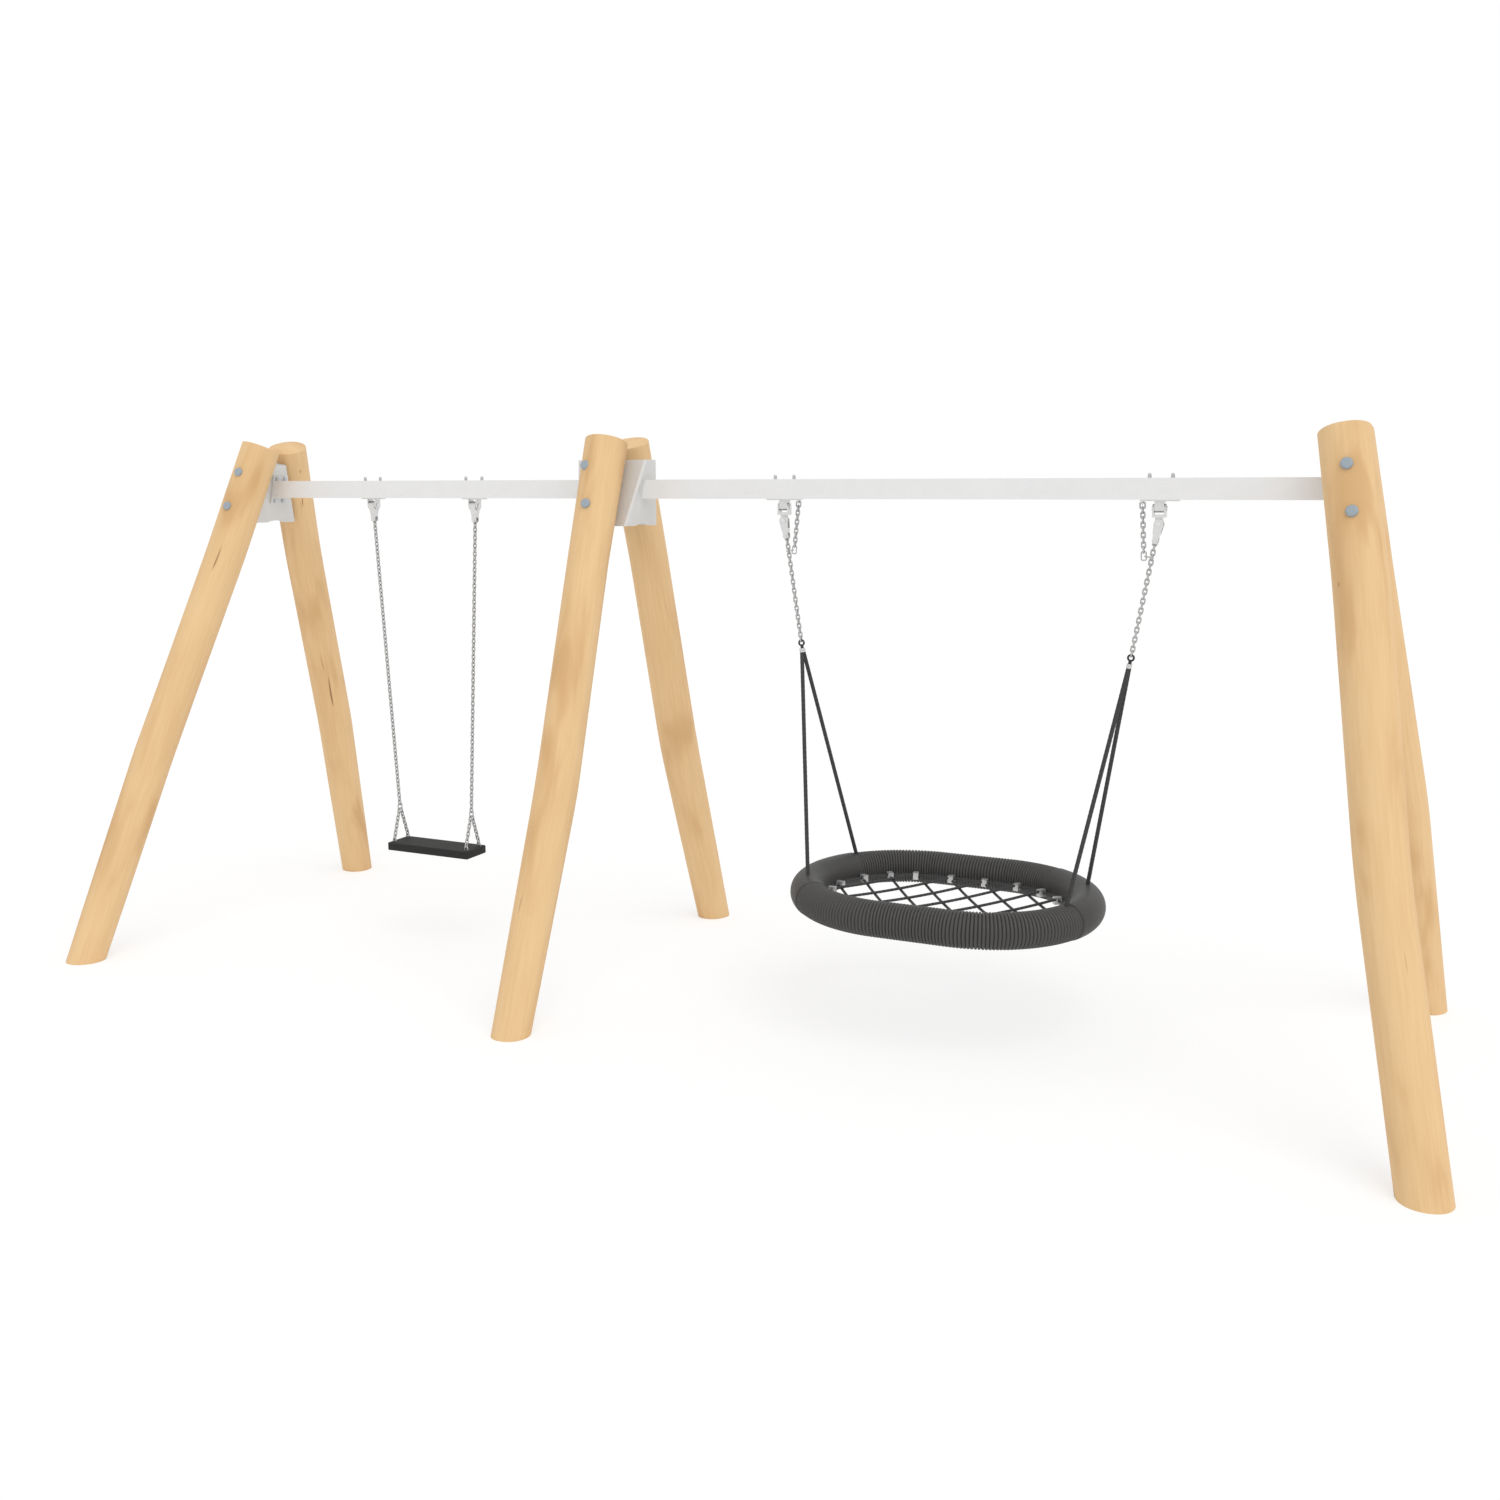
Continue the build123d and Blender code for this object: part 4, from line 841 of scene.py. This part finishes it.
    def net_ropes(self) -> list[Skin]:
        """Two families of slanting ropes, one laid over the other."""
        edge = self.bend - self.border_inset
        aside = self.net_slant * self.net_spacing
        run = np.array([aside, edge]) / math.hypot(aside, edge)
        skins = []
        for row in range(self.net_rows):
            x = (row - (self.net_rows - 1) / 2) * self.net_spacing
            for turn in (-1, 1):
                direction = np.array([turn * run[0], run[1]])
                back = -self.reach(x, -direction, edge - self.net_end_gap)
                ahead = self.reach(x, direction, edge - self.net_end_gap)
                s = np.linspace(back, ahead, round((ahead - back) / self.net_step))
                px, py = x + direction[0] * s, direction[1] * s
                level = self.ring_height - self.net_drop + turn * self.net_layer
                height = level + self.net_height(px, py)
                path = np.stack([self.centre_x + px, py, height], -1)
                side = np.broadcast_to(np.array([-direction[1], direction[0], 0.0]), path.shape)
                rise = np.broadcast_to(np.array([0.0, 0.0, 1.0]), path.shape)
                skins.append(self.twisted(path, -side, rise, self.net_radius, self.net_strands))
        return skins

    def border_rope(self) -> Skin:
        """Closed rope round the net."""
        edge = self.bend - self.border_inset
        oval = Oval(self.centre_x, self.half, edge, self.ring_height - self.net_drop)
        rows = round(oval.length / self.net_step)
        path, out, up = oval.sample(np.arange(rows) * oval.length / rows)
        lays = round(oval.length / (self.lay_length * self.net_radius))
        columns = self.net_strands * self.lobe_points
        turn = FULL_TURN * np.arange(columns) / columns
        lay = FULL_TURN * lays * np.arange(rows) / rows
        lobe = np.abs(np.cos(self.net_strands / 2.0 * (turn[None, :] - lay[:, None])))
        skin = tube(path, out, up, self.net_radius * (1.0 - self.lobe_depth * (1.0 - lobe)))
        skin.closed = True
        return skin

    def hanging_ropes(self) -> list[Skin]:
        """Four ropes from the ferrules to the ring, straight under load."""
        skins = []
        for side, angles in ((-1, self.left_ropes), (1, self.right_ropes)):
            for end, angle in zip((-1, 1), np.radians(angles)):
                x = self.centre_x + side * (self.half + self.bend * math.cos(angle))
                core = np.array([x, end * self.bend * math.sin(angle), self.ring_height])
                start = self.rope_start(side, end)
                unit = (core - start) / np.linalg.norm(core - start)
                stop = core - unit * self.rope_stop
                path = start + (stop - start) * np.linspace(0.0, 1.0, self.rope_rows)[:, None]
                across = np.cross(unit, np.array([1.0, 0.0, 0.0]))
                across /= np.linalg.norm(across)
                across = np.broadcast_to(across, path.shape)
                rise = np.cross(np.broadcast_to(unit, path.shape), across)
                skins.append(self.twisted(path, across, rise, self.rope_radius, self.rope_strands))
        return skins

    def rope_start(self, side: int, end: int) -> np.ndarray:
        """Where a rope leaves its ferrule, below the sway pin along the leaning arm."""
        x = self.hangers_x + side * (self.hanger_half - math.sin(self.arm_lean) * self.ferrule_drop)
        height = self.sway_height - math.cos(self.arm_lean) * self.ferrule_drop
        return np.array([x, end * self.rope_side, height])

    def build(self, finishes: dict[str, bpy.types.Material]) -> list[bpy.types.Object]:
        """Make every soft piece of the nest."""
        left_first, left_last = self.left_sleeve
        right_first, right_last = self.right_sleeve
        cover_rear = self.ribbed_cover(right_last, left_first)
        cover_front = self.ribbed_cover(left_last, 360.0 + right_first)
        sleeve_right = self.smooth_sleeve(right_first, right_last)
        sleeve_left = self.smooth_sleeve(left_first, left_last)
        table = (
            ("nest_cover_rear", "ring_cover_rear", "cover_ribbed", [cover_rear]),
            ("nest_cover_front", "ring_cover_front", "cover_ribbed", [cover_front]),
            ("nest_sleeve_right", "ring_sleeve_right", "cover_smooth", [sleeve_right]),
            ("nest_sleeve_left", "ring_sleeve_left", "cover_smooth", [sleeve_left]),
            ("nest_border_rope", "net_border", "rope_fibre", [self.border_rope()]),
            ("nest_net", "net_ropes", "rope_fibre", self.net_ropes()),
            ("nest_hanging_ropes", "nest_ropes", "rope_fibre", self.hanging_ropes()),
        )
        made = []
        for name, node, slot, skins in table:
            piece = make_piece(name, skins, 60.0)
            dress(piece, finishes[slot])
            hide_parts(node)
            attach(piece, Body.BASKET.value)
            made.append(piece)
        return made


# ---- single seat --------------------------------------------------------------------------------


@dataclass
class RubberSeat:
    """Moulded slab seat with rounded corners and edges."""

    corner: float = 0.011
    top_round: float = 0.0055
    foot_round: float = 0.00275
    least_corner: float = 0.0005
    insets: tuple[float, float, float] = (0.02, 0.04, 0.06)
    bend_steps: int = 7
    columns: int = 48

    def plan(self, half: np.ndarray, inset: float) -> np.ndarray:
        """Rounded rectangle: corner centres plus a corner radius times (cos, sin).

        Args:
            half: Half of the slab's length and width.
            inset: How far the rectangle lies inside the slab's edge.

        Returns:
            Points in the plane, counter-clockwise.
        """
        turn = FULL_TURN * (np.arange(self.columns) + 0.5) / self.columns
        c, s = np.cos(turn), np.sin(turn)
        radius = max(self.corner - inset, self.least_corner)
        x = np.sign(c) * (half[0] - inset - radius) + radius * c
        y = np.sign(s) * (half[1] - inset - radius) + radius * s
        return np.stack([x, y], -1)

    def build(self, rubber: bpy.types.Material) -> bpy.types.Object:
        """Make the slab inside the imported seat's box."""
        low, high = (np.array(v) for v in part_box("seat_rubber"))
        middle, half = (low + high) / 2.0, (high - low) / 2.0
        rows, heights = [], []
        bend = np.linspace(0.0, math.pi / 2.0, self.bend_steps)
        for inset in self.insets[::-1]:
            rows.append(self.plan(half, inset))
            heights.append(low[2])
        for a in bend:
            rows.append(self.plan(half, self.foot_round * (1.0 - math.sin(a))))
            heights.append(low[2] + self.foot_round * (1.0 - math.cos(a)))
        for a in bend[::-1]:
            rows.append(self.plan(half, self.top_round * (1.0 - math.sin(a))))
            heights.append(high[2] - self.top_round * (1.0 - math.cos(a)))
        for inset in self.insets:
            rows.append(self.plan(half, inset))
            heights.append(high[2])
        plan = np.stack(rows) + middle[:2]
        level = np.broadcast_to(np.array(heights)[:, None, None], plan.shape[:2] + (1,))
        grid = np.concatenate([plan, level], axis=-1)
        piece = make_piece("seat_slab", [Skin(grid, grid - middle)], 50.0)
        dress(piece, rubber)
        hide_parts("seat_rubber")
        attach(piece, Body.SEAT.value)
        return piece


# ---- studio -------------------------------------------------------------------------------------


@dataclass
class Studio:
    """Pale floor, soft light and the camera."""

    eye: tuple[float, float, float] = (2.7035, -5.5984, 2.1597)
    pitch: float = math.radians(10.077)
    yaw: float = math.radians(24.664)
    lens: float = 34.895
    sensor: float = 36.0
    sky: float = 0.80
    sun: float = 1.0
    sun_angle: float = math.radians(50.0)
    sun_turn: tuple[float, float, float] = (math.radians(24.0), math.radians(30.0), 0.0)
    floor_half: float = 60.0
    floor_glow: float = 0.60

    def floor(self) -> bpy.types.Object:
        """Wide matt plane under the feet, which glows to the camera so that shadows stay faint.

        Returns:
            The floor, staged outside the part.
        """
        size = self.floor_half
        mesh = bpy.data.meshes.new("floor")
        corners = [(-size, -size, 0.0), (size, -size, 0.0), (size, size, 0.0), (-size, size, 0.0)]
        mesh.from_pydata(corners, [], [(0, 1, 2, 3)])
        floor = bpy.data.objects.new("floor", mesh)
        bpy.context.scene.collection.objects.link(floor)
        paint = Paint("floor")
        paint.finish((1.0, 1.0, 1.0, 1.0), 1.0)
        paint.shader.inputs["Specular IOR Level"].default_value = 0.0
        white = {"Color": (1.0, 1.0, 1.0, 1.0), "Strength": 1.0}
        glow = paint.node("ShaderNodeEmission", {}, white).outputs[0]
        ray = paint.node("ShaderNodeLightPath", {}, {}).outputs["Is Camera Ray"]
        share = Value(paint, ray) * self.floor_glow
        mixed = paint.node("ShaderNodeMixShader", {}, {0: share, 1: paint.shader.outputs[0], 2: glow})
        paint.tree.links.new(mixed.outputs[0], paint.output.inputs["Surface"])
        dress(floor, paint.material)
        return floor

    def light(self) -> None:
        """White sky, plain white to the camera and in reflections, and a wide soft sun."""
        world = bpy.data.worlds.new("sky")
        bpy.context.scene.world = world
        world.use_nodes = True
        tree = world.node_tree
        tree.nodes.clear()
        out = tree.nodes.new("ShaderNodeOutputWorld")
        mix = tree.nodes.new("ShaderNodeMixShader")
        path = tree.nodes.new("ShaderNodeLightPath")
        seen = tree.nodes.new("ShaderNodeMath")
        seen.operation = "MAXIMUM"
        shades = []
        for strength in (self.sky, 1.0):
            shade = tree.nodes.new("ShaderNodeBackground")
            shade.inputs["Strength"].default_value = strength
            shade.inputs["Color"].default_value = (1.0, 1.0, 1.0, 1.0)
            shades.append(shade)
        tree.links.new(path.outputs["Is Camera Ray"], seen.inputs[0])
        tree.links.new(path.outputs["Is Glossy Ray"], seen.inputs[1])
        tree.links.new(seen.outputs[0], mix.inputs[0])
        tree.links.new(shades[0].outputs[0], mix.inputs[1])
        tree.links.new(shades[1].outputs[0], mix.inputs[2])
        tree.links.new(mix.outputs[0], out.inputs["Surface"])
        lamp = bpy.data.lights.new("sun", "SUN")
        lamp.energy = self.sun
        lamp.angle = self.sun_angle
        sun = bpy.data.objects.new("sun", lamp)
        sun.rotation_euler = self.sun_turn
        bpy.context.scene.collection.objects.link(sun)

    def camera(self) -> None:
        """Camera at the beams' height, in front of the right bay, looking slightly down and left."""
        data = bpy.data.cameras.new("camera")
        data.lens = self.lens
        data.sensor_width = self.sensor
        camera = bpy.data.objects.new("camera", data)
        camera.location = self.eye
        camera.rotation_euler = (math.pi / 2.0 - self.pitch, 0.0, self.yaw)
        bpy.context.scene.collection.objects.link(camera)
        bpy.context.scene.camera = camera

    def build(self) -> None:
        """Set the whole studio up."""
        self.floor()
        self.light()
        self.camera()
        bpy.context.scene.view_settings.view_transform = "Standard"


LOG_FRAMES = (
    LogFrame("left", -2.840, math.radians(10.5), (
        Log("front", 0.009, (-0.014, 0.010), (-0.013, 0.0086), (0.083, 0.091, 0.0895, 0.088), 11),
        Log("rear", -0.037, (0.012, -0.002), (0.029, -0.019), (0.0835, 0.091, 0.091, 0.090), 12),
    )),
    LogFrame("middle", -0.502, 0.0, (
        Log("front", 0.017, (0.032, -0.006), (0.0, -0.001), (0.079, 0.0895, 0.0875, 0.092), 13),
        Log("rear", -0.007, (-0.025, -0.002), (0.0, 0.0), (0.080, 0.090, 0.0885, 0.090), 14),
    )),
    LogFrame("right", 2.860, math.radians(-10.5), (
        Log("front", 0.006, (-0.027, -0.010), (-0.007, -0.021), (0.0875, 0.086, 0.091, 0.089), 15),
        Log("rear", 0.007, (0.023, 0.004), (-0.009, 0.0094), (0.0895, 0.0905, 0.0915, 0.0885), 16),
    )),
)

FINISHES = (
    Metal("bracket_zinc", srgb(214, 213, 211), 0.25, 0.55),
    Metal("beam_zinc", srgb(228, 228, 228), 0.15, 0.50, 0.05),
    Metal("flange_zinc", srgb(210, 210, 209), 0.35, 0.50),
    Metal("bolt_steel", srgb(190, 192, 195), 0.85, 0.35),
    Metal("hanger_steel", srgb(216, 216, 215), 0.75, 0.32, 0.05, 90.0),
    Metal("pin_steel", srgb(222, 222, 223), 0.90, 0.25, 0.03, 90.0),
    Metal("bush_brass", srgb(196, 168, 106), 0.95, 0.35),
    Metal("chain_steel", srgb(184, 184, 184), 0.85, 0.32, 0.08, 120.0),
    Metal("insert_aluminium", srgb(205, 206, 208), 0.90, 0.40),
    Metal("clamp_aluminium", srgb(206, 206, 206), 0.85, 0.38, 0.08, 120.0),
    Metal("core_steel", srgb(170, 171, 173), 0.85, 0.45),
    Moulded("cap_plastic", srgb(150, 160, 168), 0.45, srgb(186, 192, 196), 0.08),
    Moulded("seat_rubber", srgb(20, 20, 20), 0.75, srgb(62, 61, 60), 0.06, 700.0, 0.0003),
    Moulded("eye_plastic", srgb(30, 30, 30), 0.45, srgb(90, 90, 88), 0.10),
    Moulded("cover_ribbed", srgb(64, 63, 62), 0.62, srgb(92, 90, 87), 0.10, 700.0, 0.0002),
    Moulded("cover_smooth", srgb(50, 49, 48), 0.55, srgb(84, 82, 80), 0.12, 900.0, 0.0002),
)


def main() -> None:
    """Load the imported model, dress it, add the new pieces and set the studio."""
    logging.basicConfig(level=logging.INFO, format="%(name)s: %(message)s")
    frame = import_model()
    finishes = {finish.name: finish.build() for finish in FINISHES}
    finishes["timber"] = Timber().build()
    finishes["rope_fibre"] = Braid("rope_fibre", srgb(34, 34, 35), srgb(70, 70, 71), 0.0022).build()
    slots = {entry["node"]: entry["material_slot"] for entry in frame["record"]["subparts"]}
    for name, node in frame["nodes"].items():
        dress(node, finishes[slots[name]])
    pieces = [piece for log_frame in LOG_FRAMES for piece in log_frame.build(finishes["timber"])]
    pieces += Nest().build(finishes)
    pieces.append(RubberSeat().build(finishes["seat_rubber"]))
    for piece in pieces:
        LOG.info("%s: %d faces", piece.name, len(piece.data.polygons))
    Studio().build()
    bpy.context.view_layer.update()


if __name__ == "__main__":
    main()
